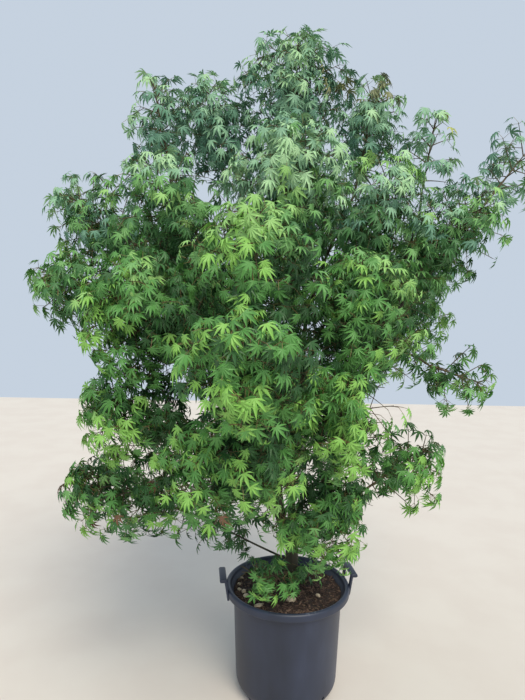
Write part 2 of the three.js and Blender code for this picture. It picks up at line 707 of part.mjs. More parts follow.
// The places where leaves grow: the stem's own tip, and the twigs in opposite pairs along it
function twigPlaces(mass, stem, limbSamples) {
  const pairs = Math.max(3, Math.round(stem.getLength() / TWIG_SPACING));
  const tip = { start: stem.getPointAt(1), direction: stem.getTangentAt(1), room: 0, parts: [0] };
  const places = [{ ...tip, seed: mass.seed }];
  for (let pair = 0; pair < pairs; pair++) {
    const share = (pair + 0.9) / (pairs + 0.1);
    const start = stem.getPointAt(share);
    twigHeadings(stem, pair, share, mass.seed).forEach((direction, branch) => {
      const length = roomAlong(mass, start, direction);
      const room = clearRun(start, direction, length, limbSamples, TWIG_RADII[0]);
      const seed = mass.seed + 20 * pair + 4 * branch;
      if (room > 0) places.push({ start, direction, room, parts: TWIG_PARTS, seed });
    });
  }
  return places;
}

// A mass is its stem, and twigs with a leaf at each tip. A twig with no room for its leaf is skipped.
function growMass(mass, root, limbs) {
  const near = limbs.filter((limb) => samplesNear(mass, limb.samples).length > 0);
  const limbSamples = near.flatMap((limb) => samplesNear(mass, limb.samples));
  const curve = massStem(mass, root, limbSamples);
  const stemRadius = (share) => THREE.MathUtils.lerp(STEM_RADII[0], STEM_RADII[1], share);
  const stem = limbSolid(curve, stemRadius, STEM_SIDES, STEM_STEPS);
  const own = [];
  twigPlaces(mass, curve, limbSamples).forEach((place) => {
    const taken = [...near.map((limb) => limb.cutter), ...own];
    own.push(...growTwig(mass, place, stem, taken, limbSamples));
  });
  return largestBody(wasm.Manifold.union([stem, ...own]));
}

// Where the stem of a mass starts: just past its bough's tip, or inside the trunk, whose bark then
// cuts it. It is free of the limb that bears it after a short way.
function massRoot(name, grown) {
  const limbName = Object.keys(LIMBS).find((one) => LIMBS[one].mass === name);
  if (limbName) {
    const { curve } = grown[limbName];
    const heading = curve.getTangentAt(1);
    return { start: curve.getPointAt(1).addScaledVector(heading, GAP), heading, free: 20 };
  }
  const mass = MASSES[name];
  const start = grown[mass.from].curve.getPointAt(mass.at);
  const heading = mass.centre.clone().sub(start).normalize();
  const outside = (trunkRadius(mass.at, 0) + STEM_RADII[0] + LIMB_ROOM) / Math.hypot(heading.x, heading.y);
  return { start, heading, free: outside + LIMB_STEP };
}

function leafMaterial(name) {
  if (BRIGHT.includes(name)) return "leaf_bright";
  return DEEP.includes(name) ? "leaf_deep" : "leaf";
}

const RIM = leafRim();
prepareMasses();

const maple = new THREE.Group();
maple.add(meshOf("pot", pot(), "plastic"));
maple.add(meshOf("handle_right", handle(HANDLE_TURN), "plastic"));
maple.add(meshOf("handle_left", handle(HANDLE_TURN + 180), "plastic"));
maple.add(meshOf("soil", soil(), "compost"));

const grown = { trunk: makeTrunk() };
maple.add(meshOf("trunk", grown.trunk.solid, "bark"));
Object.entries(LIMBS).forEach(([name, plan]) => {
  grown[name] = makeLimb(plan, grown);
  maple.add(meshOf(name, grown[name].solid, plan.from === "trunk" ? "bark" : "young_bark"));
});

Object.entries(MASSES).forEach(([name, mass]) => {
  const whole = growMass(mass, massRoot(name, grown), Object.values(grown));
  const solid = mass.from ? largestBody(whole.subtract(grown[mass.from].cutter)) : whole;
  maple.add(meshOf(`leaves_${name}`, solid, leafMaterial(name)));
});

export default maple;
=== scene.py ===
# Potted Japanese maple: the looks. The solids are the frame. The bark, twigs and leaves grow here from the
# same limbs, spaces and rule as the solids, carried on to finer twigs. The rule works in millimetres, and
# every mesh is made in metres.
from math import ceil, cos, hypot, radians, sin, tan, tau

import bmesh
import bpy
import numpy as np
from mathutils import Matrix, Vector, noise


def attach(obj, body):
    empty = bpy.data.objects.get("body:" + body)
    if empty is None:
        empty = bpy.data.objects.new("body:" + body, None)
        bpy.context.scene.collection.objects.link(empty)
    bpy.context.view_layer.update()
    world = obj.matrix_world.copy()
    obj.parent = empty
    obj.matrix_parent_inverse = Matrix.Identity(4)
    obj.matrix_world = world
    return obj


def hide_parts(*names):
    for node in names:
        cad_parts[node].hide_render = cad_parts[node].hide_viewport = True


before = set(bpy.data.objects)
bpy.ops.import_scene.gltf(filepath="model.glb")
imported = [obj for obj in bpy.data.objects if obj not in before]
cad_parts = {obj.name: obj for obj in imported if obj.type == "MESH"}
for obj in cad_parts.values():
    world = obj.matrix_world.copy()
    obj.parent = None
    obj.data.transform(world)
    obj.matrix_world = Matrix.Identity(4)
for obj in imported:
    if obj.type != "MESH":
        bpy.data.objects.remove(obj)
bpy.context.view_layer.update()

MM = 0.001

# Clearances and steps of the growth rule
GAP = 0.3
EDGE = 1.5
LIMB_ROOM = 4
LIMB_STEP = 8
PROBE_STEP = 6
PROBE_COUNT = 168
RIM_CLEAR = 8
WALL_CLEAR = 14
SOIL_CLEAR = 2

# Pot
POT_SIDES = 144
POT_HEIGHT = 400
POT_WALL = 4
FOOT_RADIUS = 165
FOOT_HEIGHT = 16
SHOULDER_RADIUS = 189
SHOULDER_HEIGHT = 46
WALL_TOP_RADIUS = 203
RIM_RADIUS = 233
RIM_DEPTH = 28
RIM_ROUND = 9
DRAIN_COUNT = 6
DRAIN_TURN = -47
DRAIN_WIDTH = 12
DRAIN_HEIGHT = 14
DRAIN_Z = 42
DRAIN_SIDES = 36
DRAIN_LOOPS = [(-25, 0), (-25, 1), (25, 1), (25, 0)]

# Handles
HANDLE_LENGTH = 104
HANDLE_TURN = 7
HANDLE_TOP = 442
HANDLE_BOTTOM = 360
HANDLE_LEG = 17
HANDLE_PLATE = 8
HANDLE_LEAN = 9
GRIP_DEPTH = 26
GRIP_HEIGHT = 13
HANDLE_INSET = 7
LEG_BEVEL = 1.6
GRIP_BEVEL = 2.2
BEVEL_STEPS = 3

# Soil
SOIL_TOP = 374
SOIL_EDGE_DROP = 3

# Trunk
TRUNK_LINE = [[18, 0, SOIL_TOP - 5], [15, 2, 480], [12, 0, 605]]
TRUNK_BASE_RADIUS = 27
TRUNK_TOP_RADIUS = 20
FLARE_SPREAD = 9
FLARE_HEIGHT = 55
FLARE_ROOTS = 5

# Stems: share of the trunk's length, places passed, mass entered, radius at each end
STEMS = {
    "centre": (1, [[5, 6, 900], [-5, 2, 1340], [0, 12, 1800]], "crown_top", [16, 4.5]),
    "right": (
        0.72,
        [[100, 5, 670], [190, 10, 950], [225, 10, 1180], [330, 20, 1370], [480, 45, 1530], [610, 55, 1700]],
        "far_right", [15, 4.5],
    ),
    "left": (
        0.64,
        [[-42, 0, 660], [-62, 0, 850], [-110, 0, 1150], [-175, 0, 1400], [-300, -5, 1600], [-440, -5, 1850]],
        "leader_left", [13, 4.5],
    ),
    "front": (0.58, [[-20, -110, 650], [-60, -280, 950], [-100, -400, 1200]], "front_upper", [12, 4.5]),
    "back": (0.66, [[20, 110, 690], [30, 260, 1050], [30, 350, 1400]], "back_top", [13, 4.5]),
    "low_left": (0.46, [[-120, -20, 548], [-270, -60, 640]], "low_left", [4.5, 2.4]),
}

# Boughs by their stem, each named after the mass that it enters: share of the stem's length, places
# passed, radius at each end
BOUGHS = {
    "centre": {
        "peak_left": (0.25, [[-110, 70, 1420], [-230, 110, 1750]], [9, 4]),
        "peak_right": (0.38, [[100, 60, 1560], [220, 90, 1850]], [9, 4]),
        "upper_centre": (0.48, [[-15, -80, 1520]], [8, 4]),
        "centre_right": (0.32, [[110, -60, 1380]], [8, 4]),
    },
    "left": {
        "inner_left": (0.42, [[-250, -110, 1440]], [8, 4]),
        "left_upper": (0.52, [[-400, 50, 1530]], [8, 4]),
        "left_tip": (0.34, [[-350, -55, 1290]], [7, 4]),
        "centre_left": (0.24, [[-190, -190, 1150]], [8, 4]),
        "front_left": (0.12, [[-210, -130, 900]], [7, 4]),
    },
    "front": {
        "front_centre": (0.42, [[-75, -420, 1060]], [8, 4]),
        "low_front": (0.2, [[-90, -260, 790]], [7, 4]),
    },
    "right": {
        "mid_right": (0.24, [[190, -110, 1130]], [8, 4]),
        "mid_low_right": (0.12, [[110, -140, 840]], [7, 4]),
        "low_right": (0.08, [[230, -20, 730]], [7, 4]),
        "right_droop": (0.42, [[400, -30, 1270]], [6, 4]),
        "right": (0.46, [[430, -40, 1540]], [7, 4]),
        "shoulder_right": (0.56, [[440, 10, 1720]], [7, 4]),
    },
    "back": {
        "back_left": (0.28, [[-160, 290, 1130]], [9, 4.5]),
        "back_right": (0.34, [[210, 320, 1180]], [9, 4.5]),
        "back_low": (0.12, [[30, 210, 780]], [8, 4]),
    },
}

# All limbs in the order that they grow: parent, share of its length, places passed, mass, radii
LIMBS = {f"stem_{stem}": ("trunk", *row) for stem, row in STEMS.items()}
for stem, boughs in BOUGHS.items():
    for mass, (share, places, radii) in boughs.items():
        LIMBS[f"bough_{mass}"] = (f"stem_{stem}", share, places, mass, radii)

# Masses of leaves: middle, half widths, a factor for how many of its fine twigs stay (1 if not given),
# and the trunk's share where a mass grows straight from it
MASSES = {
    "crown_top": ([0, 50, 2235], [258, 215, 213], 1.9),
    "leader_left": ([-490, 0, 2090], [124, 150, 195], 0.9),
    "far_right": ([810, 50, 1965], [104, 160, 225], 0.6),
    "front_upper": ([-130, -550, 1530], [207, 241, 172]),
    "back_top": ([40, 450, 1900], [368, 276, 345]),
    "low_left": ([-545, -120, 775], [282, 207, 172], 0.65),
    "peak_left": ([-305, 120, 2118], [195, 218, 208], 1.3),
    "peak_right": ([280, 100, 2118], [150, 200, 207], 1.3),
    "upper_centre": ([-30, -220, 1820], [241, 253, 218]),
    "centre_right": ([265, -120, 1750], [207, 230, 218]),
    "inner_left": ([-410, -200, 1730], [230, 241, 218]),
    "left_upper": ([-725, 80, 1755], [212, 220, 210], 0.9),
    "left_tip": ([-740, -110, 1485], [178, 190, 170], 0.85),
    "centre_left": ([-430, -420, 1385], [208, 241, 195], 1.7),
    "front_left": ([-490, -310, 1092], [172, 218, 188], 1.7),
    "front_centre": ([-140, -680, 1280], [195, 230, 172]),
    "low_front": ([-200, -500, 990], [218, 241, 178]),
    "mid_right": ([185, -280, 1410], [230, 241, 218]),
    "mid_low_right": ([135, -340, 1090], [201, 230, 195], 0.85),
    "low_right": ([385, -50, 855], [172, 192, 195], 0.65),
    "right_droop": ([585, -80, 1205], [112, 122, 155], 0.4),
    "right": ([580, -30, 1735], [192, 201, 192], 0.85),
    "shoulder_right": ([480, 10, 1975], [105, 130, 190], 0.5),
    "back_left": ([-460, 430, 1520], [368, 288, 356]),
    "back_right": ([470, 430, 1500], [368, 288, 356]),
    "back_low": ([20, 440, 1000], [425, 299, 310]),
    "low_centre": ([92, -120, 695], [286, 230, 188], 1.1, 0.82),
    "skirt": ([-50, -115, 480], [161, 103, 98], 0.9, 0.3),
}
NEAR_MASS = 1.2
NEAR_LIMB = 60
SEED_STEP = 7919

# Twigs: the solids' radii, which keep them clear of the limbs, and the radii drawn
STEM_RADIUS = 6
STEM_DRAWN = (4.4, 1.6)
STEM_FILL = 0.7
TWIG_RADIUS = 2.8
TWIG_DRAWN = (2.4, 1.1)
FINE_DRAWN = (1.4, 0.8)
TWIG_SPACING = 31
TWIG_SPREAD = [85, 40]
TWIG_STRAY = 26
TWIG_REACH = [0.68, 0.9]

# Finer twigs and leaves
DROOP = 0.11
FINE_SPACING = 47
FINE_LENGTHS = [45, 110]
FINE_SHORTEST = 12
LEAF_PLACES = [0.35, 0.7]
YOUNG_PLACES = [0.25, 0.5, 0.78]
STALK_LENGTHS = [16, 32]
STALK_HANG = 0.35
STALK_RADII = [0.8, 0.6]
STALK_SIDES = 3
LEAF_SIZE = 41
LEAF_SCALES = {"skirt": 0.88}
YOUNG_SCALE = 0.8
LEAF_SIZE_RANGE = [0.75, 1.12]
LEAF_ALONG = 0.3
LEAF_TILT = 95
LEAF_FACE_UP = 0.5
LEAF_OUT = 0.6
LEAF_HANG = 0.8
LEAF_FOLLOW = 0.5
LEAF_STRAY = 0.75
LEAF_ROOM = 12
TIP_SPARE = 20

# Gaps that one sees through from the front: middle and half widths, in X and Z, where the view meets the
# plane of the trunk. Only leaves before OPEN_BEFORE leave a gap free.
OPENINGS = [
    (10, 480, 30, 44), (345, 1100, 85, 75), (-190, 380, 60, 120), (330, 690, 60, 60),
    (-345, 1890, 45, 60), (470, 1450, 50, 50), (20, 250, 200, 85),
]
OPEN_BEFORE = 60

# How the crown thins towards its edge, low down and from THIN_FROM on up to THIN_OVER higher: where in a
# mass it starts, and the shares of fine twigs kept at the edge and inside. WHOLE_SPRAYS go or stay whole.
THIN_FROM = 1500
THIN_OVER = 600
EDGE_STARTS = [0.75, 0.5]
EDGE_KEPT = [0.3, 0.08]
INNER_KEPT = [1, 0.85]
WHOLE_SPRAYS = 0.5

# Leaves face out from the middle of their mass, and of the crown by CROWN_PULL
CROWN_MIDDLE = [-20, 0, 1350]
CROWN_PULL = 0.6

# The fresh growth of the front: its middle, its reach, and from which youth a twig bears more leaves
YOUNG_MIDDLE = [-190, -560, 1250]
YOUNG_SPREAD = [420, 400, 520]
YOUNG_FROM = 0.35

# Short sprays on the trunk and limbs outside the masses: between which shares of the length, how far
# apart, and how far their space goes past the limb
BARE_SPRAYS = {"trunk": (0.04, 0.38, 13), "stem": (0.4, 0.96, 42), "bough": (0.3, 0.96, 42)}
SPRAY_ROOM = 170

# A leaf's lobes: turn from its rib in degrees, length and half width as shares; then droop and fold.
# NOTCH is how deep the notches reach, LOBE_WIDEST where a lobe is widest.
NOTCH = 0.3
LOBE_WIDEST = 0.55
LEAF_SHAPES = [
    ([(-100, 0.5, 0.1), (-66, 0.78, 0.1), (-33, 0.95, 0.105), (0, 1.05, 0.11),
      (33, 0.95, 0.105), (66, 0.78, 0.1), (100, 0.5, 0.1)], 0.4, 0.6),
    ([(-86, 0.48, 0.1), (-55, 0.8, 0.105), (-26, 1, 0.105), (0, 1.1, 0.105),
      (24, 0.98, 0.105), (52, 0.82, 0.105), (84, 0.5, 0.1)], 0.55, 0.8),
    ([(-76, 0.66, 0.115), (-37, 0.95, 0.115), (0, 1.08, 0.12),
      (37, 0.95, 0.115), (76, 0.66, 0.115)], 0.45, 0.7),
]

# Leaf colours: fresh, mid and hazy green, each from bright to deep, then two bronze ones, yellow and brown.
# The hazy greens are paler and bluer with painted sky light. The deep shades fall partly by chance and
# partly, as painted shade, to leaves further inside the crown.
GREENS = [
    0x82B654, 0x548C42, 0x2A5626,
    0x8EBC6A, 0x6CA05A, 0x40703C,
    0xA2C896, 0x86B08C, 0x5E8A70,
]
BRONZE = [0x828658, 0x707650]
YELLOW = 0xA8B050
BROWN = 0x7A5840
LEAF_ROUGHNESS = 0.55

# How the greens are dealt: what youth, height and depth add to the row, height and depth leading to the
# hazy greens of painted sky light; what a spray and a leaf add to the shade, and what painted shade adds
# for leaves further inside; and how rare the other colours are
ROW_YOUTH = 0.8
# Painted sky light: from which height, and over how far up and back, the rows turn to the hazy greens
SKY_LIGHT_FROM, SKY_LIGHT_OVER, ROW_SKY_LIGHT = 1400, 600, 1.5
BACK_OVER, ROW_BACK = 400, 0.4
ROW_STRAY = 0.9
# Painted shade: how much deeper a shade leaves further inside their mass take
PAINTED_SHADE_BASE, PAINTED_SHADE_OUT = 0.18, 0.42
SHADE_BY_SPRAY, SHADE_BY_LEAF = 0.62, 0.38
BRONZE_FROM, BRONZE_OVER, BRONZE_SHARE = 2150, 200, 0.15
BROWN_BELOW, BROWN_SHARE = 1050, 0.006
YELLOW_SHARE = 0.006

# The pieces that the leaves are joined into
REGIONS = {
    "upper_crown": ["crown_top", "leader_left", "peak_left", "peak_right", "upper_centre", "shoulder_right"],
    "left_side": ["left_upper", "left_tip", "inner_left", "centre_left", "low_left", "front_left"],
    "front": ["front_upper", "front_centre", "low_front", "mid_right", "mid_low_right", "centre_right"],
    "right_side": ["far_right", "right", "right_droop", "low_right"],
    "low_middle": ["low_centre", "skirt"],
    "back": ["back_top", "back_left", "back_right", "back_low"],
    "boughs": ["trunk", *LIMBS],
}

# Bark: steps along the limbs, and the power that slims them faster than an even taper
RING_STEP = 12
JOINT_STEP = 92
SLIMMING = 0.65
TRUNK_SIDES = 40
TRUNK_STEPS = 48

# Soil: the pot's inside at that height, chips of bark, and pebbles as place and half widths
SOIL_RADIUS = 203
SOIL_SIDES = 120
SOIL_STEPS = 44
CHIP_COUNT = 1500
CHIP_LENGTHS = [5, 24]
CHIP_WIDTHS = [2, 6]
CHIP_HEIGHTS = [1, 3]
CHIP_PITCH = 50
BOX_FACES = [(0, 1, 3, 2), (4, 6, 7, 5), (0, 4, 5, 1), (2, 3, 7, 6), (0, 2, 6, 4), (1, 5, 7, 3)]
PEBBLES = [
    (-116, 148, 9, 7, 6), (-176, 74, 8, 6, 5), (-184, 28, 8, 7, 5), (-181, -14, 10, 7, 5),
    (-164, -30, 12, 9, 6), (-155, -58, 15, 10, 4), (-118, -78, 8, 6, 5), (-107, -123, 19, 10, 5),
    (9, -89, 18, 14, 11), (111, -54, 10, 8, 7),
]

# Studio and camera
SKY_COLOUR = 0xD8E5F4
SKY_STRENGTH = 0.82
SUN_COLOUR = 0xFFF6E6
SUN_ENERGY = 2.8
SUN_SOFTNESS = 35
SUN_FROM = (0.3, -0.8, 1.0)
CAMERA_PLACE = (-110, -1946, 1387)
CAMERA_PITCH = 3.2
CAMERA_ROLL = 1
CAMERA_LENS = 27.051

LEAF_COLOURS = [*GREENS, *BRONZE, YELLOW, BROWN]
UP = np.array([0.0, 0.0, 1.0])
LOW_BITS = np.uint64(0xFFFFFFFF)


def chance(seed, k):
    """A whole number's fixed chance from 0 to 1; seed may be an array, and each use has its own k"""
    key = np.uint64((k + 1) * 0x9E3779B1 & 0xFFFFFFFF)
    mixed = (np.asarray(seed).astype(np.uint64) ^ key) * np.uint64(0x85EBCA6B) & LOW_BITS
    mixed = (mixed ^ (mixed >> np.uint64(13))) * np.uint64(0xC2B2AE35) & LOW_BITS
    return ((mixed ^ (mixed >> np.uint64(16))) & LOW_BITS) / 4294967296


def circle(sides):
    """Angles evenly round a circle"""
    return np.arange(sides) / sides * tau


def unit(v):
    v = np.asarray(v, float)
    return v / np.linalg.norm(v, axis=-1, keepdims=True)


def blend(a, b, share):
    return a + (b - a) * share


def risen(value, start, over):
    """From 0 at the start to 1 where the value is that far over it"""
    return np.clip((value - start) / over, 0, 1)


class Smooth:
    """A uniform Catmull-Rom curve through its places, measured along its length"""

    def __init__(self, places, steps=200):
        self.places = np.array(places, float)
        self.shares = np.linspace(0, 1, steps + 1)
        samples = np.array([self.raw(t) for t in self.shares])
        spans = np.linalg.norm(np.diff(samples, axis=0), axis=1)
        self.lengths = np.concatenate([[0], np.cumsum(spans)])
        self.length = self.lengths[-1]

    def raw(self, t):
        p, last = self.places, len(self.places) - 1
        span = min(int(t * last), last - 1)
        w = t * last - span
        before = p[span - 1] if span > 0 else 2 * p[0] - p[1]
        after = p[span + 2] if span + 2 <= last else 2 * p[last] - p[last - 1]
        a, b = p[span], p[span + 1]
        out, back = 0.5 * (b - before), 0.5 * (after - a)
        return a + out * w + (3 * (b - a) - 2 * out - back) * w**2 + (2 * (a - b) + out + back) * w**3

    def share_of(self, share):
        return np.interp(share * self.length, self.lengths, self.shares)

    def at(self, share):
        return self.raw(self.share_of(share))

    def heading(self, share):
        t = self.share_of(share)
        return unit(self.raw(min(t + 1e-4, 1)) - self.raw(max(t - 1e-4, 0)))


def across_at(curve, share):
    """Two directions across a curve, carried along it from its start without a twist"""
    start, heading = curve.heading(0), curve.heading(share)
    away = np.array([0.0, 1.0, 0.0]) if abs(start[2]) > 0.97 else UP
    side = unit(np.cross(start, away))
    side = unit(side - heading * side.dot(heading))
    return side, unit(np.cross(side, heading))


# Spaces of the masses


class Mass:
    """The egg-shaped space of a mass of leaves"""

    def __init__(self, index, name, middle, half, kept=1, at=None):
        self.name, self.kept, self.at = name, kept, at
        self.centre, self.half = np.array(middle, float), np.array(half, float)
        self.size = float(np.cbrt(np.prod(self.half)))
        self.seed = SEED_STEP * (index + 1)
        self.neighbours = []

    def reach(self, places, spare=0.0):
        """How far out of its middle places are, with 1 at its edge"""
        return np.sqrt((((places - self.centre) / (self.half + spare)) ** 2).sum(-1))

    def near(self, samples):
        """The samples of the limbs that its twigs and leaves might touch"""
        away = np.linalg.norm(samples[:, :3] - self.centre, axis=1)
        return samples[away < self.half.max() + NEAR_LIMB]


def border_room(mass, other, places):
    """How far places are from the border with another mass, on this mass's side"""
    mine = ((places - mass.centre) ** 2).sum(-1) - mass.size**2
    theirs = ((places - other.centre) ** 2).sum(-1) - other.size**2
    return (theirs - mine) / (2 * np.linalg.norm(mass.centre - other.centre))


def clear_of_pot(places, room):
    """Whether places are above the rim, or above the soil and within the wall"""
    x, y, z = np.moveaxis(places, -1, 0)
    within = (np.hypot(x, y) < WALL_TOP_RADIUS - WALL_CLEAR - room) & (z > SOIL_TOP + SOIL_CLEAR + room)
    return (z > POT_HEIGHT + RIM_CLEAR + room) | within


def in_space(mass, places, room=EDGE):
    inside = (mass.reach(places, -room) <= 1) & clear_of_pot(places, room)
    for other in mass.neighbours:
        inside &= border_room(mass, other, places) > room
    return inside


def room_along(mass, place, direction):
    """How far a space goes on from a place in one direction"""
    probes = place + direction * PROBE_STEP * np.arange(PROBE_COUNT)[:, None]
    gone = int(np.argmin(in_space(mass, probes)))
    return max(gone - 1, 0) * PROBE_STEP


def entry_point(mass, inward):
    return mass.centre - inward * 0.9 * room_along(mass, mass.centre, -inward)


def room_to_limbs(places, samples):
    away = np.linalg.norm(places[..., None, :] - samples[:, :3], axis=-1) - samples[:, 3]
    return away.min(-1)


def clear_run(start, direction, length, samples, radius):
    """How much of a straight run stays clear of the limbs"""
    gone = np.arange(0, length + 1e-9, LIMB_STEP)
    close = room_to_limbs(start + direction * gone[:, None], samples) < radius + LIMB_ROOM
    return max(gone[int(np.argmax(close))] - LIMB_STEP, 0) if close.any() else length


def twig_headings(stem, pair, share, seed):
    """A pair of opposite twigs; each pair stands across the pair before it"""
    heading = stem.heading(share)
    side, rise = across_at(stem, share)
    turn = radians(90 * pair + TWIG_STRAY * (chance(seed, pair) - 0.5))
    spread = radians(blend(*TWIG_SPREAD, share))
    outward = side * cos(turn) + rise * sin(turn)
    return [unit(heading * cos(spread) + outward * sign * sin(spread)) for sign in (1, -1)]


def mass_stem(mass, start, heading, free, samples):
    """The stem of a mass goes on from its bough's tip, through the middle, towards the far edge"""
    through = unit(blend(unit(mass.centre - start), heading, 0.5))
    length = STEM_FILL * room_along(mass, mass.centre, through) + np.linalg.norm(start - mass.centre)
    clear = clear_run(start + heading * free, through, length, samples, STEM_RADIUS)
    return Smooth([start, start + heading * 0.3 * clear, start + through * clear])


# Trunk and limbs


class Limb:
    def __init__(self, curve, radii):
        self.curve, self.radii = curve, radii
        count = ceil(curve.length / LIMB_STEP)
        shares = np.arange(count + 1) / count
        places = np.array([curve.at(share) for share in shares])
        self.samples = np.column_stack([places, blend(*radii, shares)])


def trunk_radius(share, angle):
    height = share * (TRUNK_LINE[2][2] - TRUNK_LINE[0][2])
    flare = np.exp(-height / (FLARE_HEIGHT / 2.2))
    lobes = 0.65 + 0.35 * np.cos(FLARE_ROOTS * angle)
    return blend(TRUNK_BASE_RADIUS, TRUNK_TOP_RADIUS, share) + FLARE_SPREAD * flare * lobes


def prepare_masses():
    masses = {name: Mass(i, name, *row) for i, (name, row) in enumerate(MASSES.items())}
    for mass in masses.values():
        for other in masses.values():
            reach = NEAR_MASS * (mass.half.max() + other.half.max())
            if other is not mass and np.linalg.norm(mass.centre - other.centre) < reach:
                mass.neighbours.append(other)
    return masses


def grow_limbs(masses):
    """The trunk, and each limb from its parent through its places into its mass"""
    grown = {"trunk": Limb(Smooth(TRUNK_LINE), [TRUNK_BASE_RADIUS + FLARE_SPREAD, TRUNK_TOP_RADIUS])}
    for name, (parent, at, by, mass_name, radii) in LIMBS.items():
        mass = masses[mass_name]
        start = grown[parent].curve.at(min(at, 0.98))
        inward = unit(mass.centre - np.array(by[-1], float))
        curve = Smooth([start, *by, entry_point(mass, inward)])
        grown[name] = Limb(curve, radii)
    return grown


def mass_root(mass, grown):
    """Where a mass's stem starts, which way it goes and how soon it is free of its own limb"""
    for name, row in LIMBS.items():
        if row[3] == mass.name:
            curve = grown[name].curve
            heading = curve.heading(1)
            return curve.at(1) + heading * GAP, heading, 20
    start = grown["trunk"].curve.at(mass.at)
    heading = unit(mass.centre - start)
    outside = (trunk_radius(mass.at, 0) + STEM_RADIUS + LIMB_ROOM) / np.hypot(heading[0], heading[1])
    return start, heading, outside + LIMB_STEP


# Twigs and leaves


class Drooping:
    """A twig that leaves straight and hangs more towards its tip"""

    def __init__(self, start, direction, length):
        self.start, self.direction, self.length = start, direction, length
        self.fall = -UP * DROOP * length * hypot(direction[0], direction[1])

    def at(self, share):
        return self.start + self.direction * self.length * share + self.fall * share**2

    def heading(self, share):
        return unit(self.direction * self.length + self.fall * 2 * max(share, 0.01))


class Growth:
    """Everything that grows, gathered by kind before the meshes are made"""

    def __init__(self):
        self.twigs = []
        self.fine_twigs = []
        self.leaves = {}


def grow_leaves(growth, mass, twig, share, seed, spray, alone=False):
    """A pair of opposite leaves on their stalks, or one leaf that ends a twig"""
    heading = twig.heading(share)
    side, rise = across_at(twig, share)
    place = twig.at(share)
    turn = radians(360 * chance(seed, 5))
    outward = side * cos(turn) + rise * sin(turn)
    for sign in [1] if alone else [1, -1]:
        spread = 0.25 if alone else 1.0
        stalk = unit(heading * (1.0 - 0.35 * spread) + outward * sign * spread - UP * STALK_HANG)
        joint = place + stalk * blend(*STALK_LENGTHS, chance(seed, 6 + sign))
        growth.leaves.setdefault(mass.name, []).append((*joint, *stalk, *place, seed + 3 + sign, spray))


def youth(places):
    """How young the leaves are, from 0 to 1: the young ones stand closer and are smaller"""
    return np.exp(-(((places - YOUNG_MIDDLE) / YOUNG_SPREAD) ** 2).sum(-1))


def density(mass, place):
    """The share of fine twigs that grow at a place: fewer at the crown's own edge, and more so high up"""
    height = risen(place[2], THIN_FROM, THIN_OVER)
    start, least = blend(*EDGE_STARTS, height), blend(*EDGE_KEPT, height)
    out = min(one.reach(place) for one in [mass, *mass.neighbours])
    return blend(blend(*INNER_KEPT, height), least, risen(out, start, 1 - start))


def grow_fine_twig(growth, mass, start, direction, seed, spray):
    """A fine twig with its leaves, unless it is one that the thinning leaves out"""
    room = room_along(mass, start, direction)
    length = min(0.9 * room, blend(*FINE_LENGTHS, chance(seed, 9)))
    if length < FINE_SHORTEST:
        return
    twig = Drooping(start, direction, length)
    lot = spray if chance(seed, 61) < WHOLE_SPRAYS else seed
    if chance(lot, 60) > density(mass, twig.at(1)) * mass.kept:
        return
    growth.fine_twigs.append(twig)
    places = YOUNG_PLACES if youth(start) > YOUNG_FROM else LEAF_PLACES
    for step, share in enumerate(places if length > FINE_LENGTHS[0] else places[1:]):
        grow_leaves(growth, mass, twig, share, seed + 31 * step, spray)
    grow_leaves(growth, mass, twig, 1, seed + 97, spray, alone=True)


def grow_spray(growth, mass, start, direction, room, seed):
    """A first twig with pairs of finer twigs along it"""
    twig = Drooping(start, direction, blend(*TWIG_REACH, chance(seed, 19)) * room)
    growth.twigs.append(twig)
    count = max(1, round(twig.length / FINE_SPACING))
    for pair in range(count):
        share = (pair + 0.8) / (count + 0.3)
        for branch, side_way in enumerate(twig_headings(twig, pair, share, seed)):
            fine_seed = seed * 7 + 211 * pair + 13 * branch
            grow_fine_twig(growth, mass, twig.at(share), side_way, fine_seed, seed)
    grow_leaves(growth, mass, twig, 0.96, seed + 5, seed)
    grow_leaves(growth, mass, twig, 1, seed + 11, seed, alone=True)


def grow_mass(growth, mass, grown, samples):
    """A mass's stem with opposite pairs of sprays along it, and one spray that ends it"""
    near = mass.near(samples)
    start, heading, free = mass_root(mass, grown)
    stem = mass_stem(mass, start, heading, free, near)
    pairs = max(3, round(stem.length / TWIG_SPACING))
    for pair in range(pairs):
        share = (pair + 0.9) / (pairs + 0.1)
        place = stem.at(share)
        for branch, direction in enumerate(twig_headings(stem, pair, share, mass.seed)):
            length = room_along(mass, place, direction)
            room = clear_run(place, direction, length, near, TWIG_RADIUS)
            if room > 0:
                grow_spray(growth, mass, place, direction, room, mass.seed + 20 * pair + 4 * branch)
    tip, ahead = stem.at(1), stem.heading(1)
    grow_spray(growth, mass, tip, ahead, room_along(mass, tip, ahead), mass.seed)
    return stem


def grow_along(growth, masses, name, limb):
    """Short sprays in pairs along a limb, before it enters its mass"""
    start, end, spacing = BARE_SPRAYS[name.split("_")[0]]
    run = (end - start) * limb.curve.length
    space = Mass(len(masses), name, limb.curve.at((start + end) / 2), [run / 2 + SPRAY_ROOM] * 3)
    masses[name] = space
    pairs = max(2, round(run / spacing))
    for pair in range(pairs):
        share = start + (end - start) * (pair + 0.8 * chance(space.seed, pair + 200)) / pairs
        for branch, direction in enumerate(twig_headings(limb.curve, pair, share, space.seed)):
            seed = space.seed + 40 * pair + 7 * branch
            grow_fine_twig(growth, space, limb.curve.at(share), direction, seed, seed)


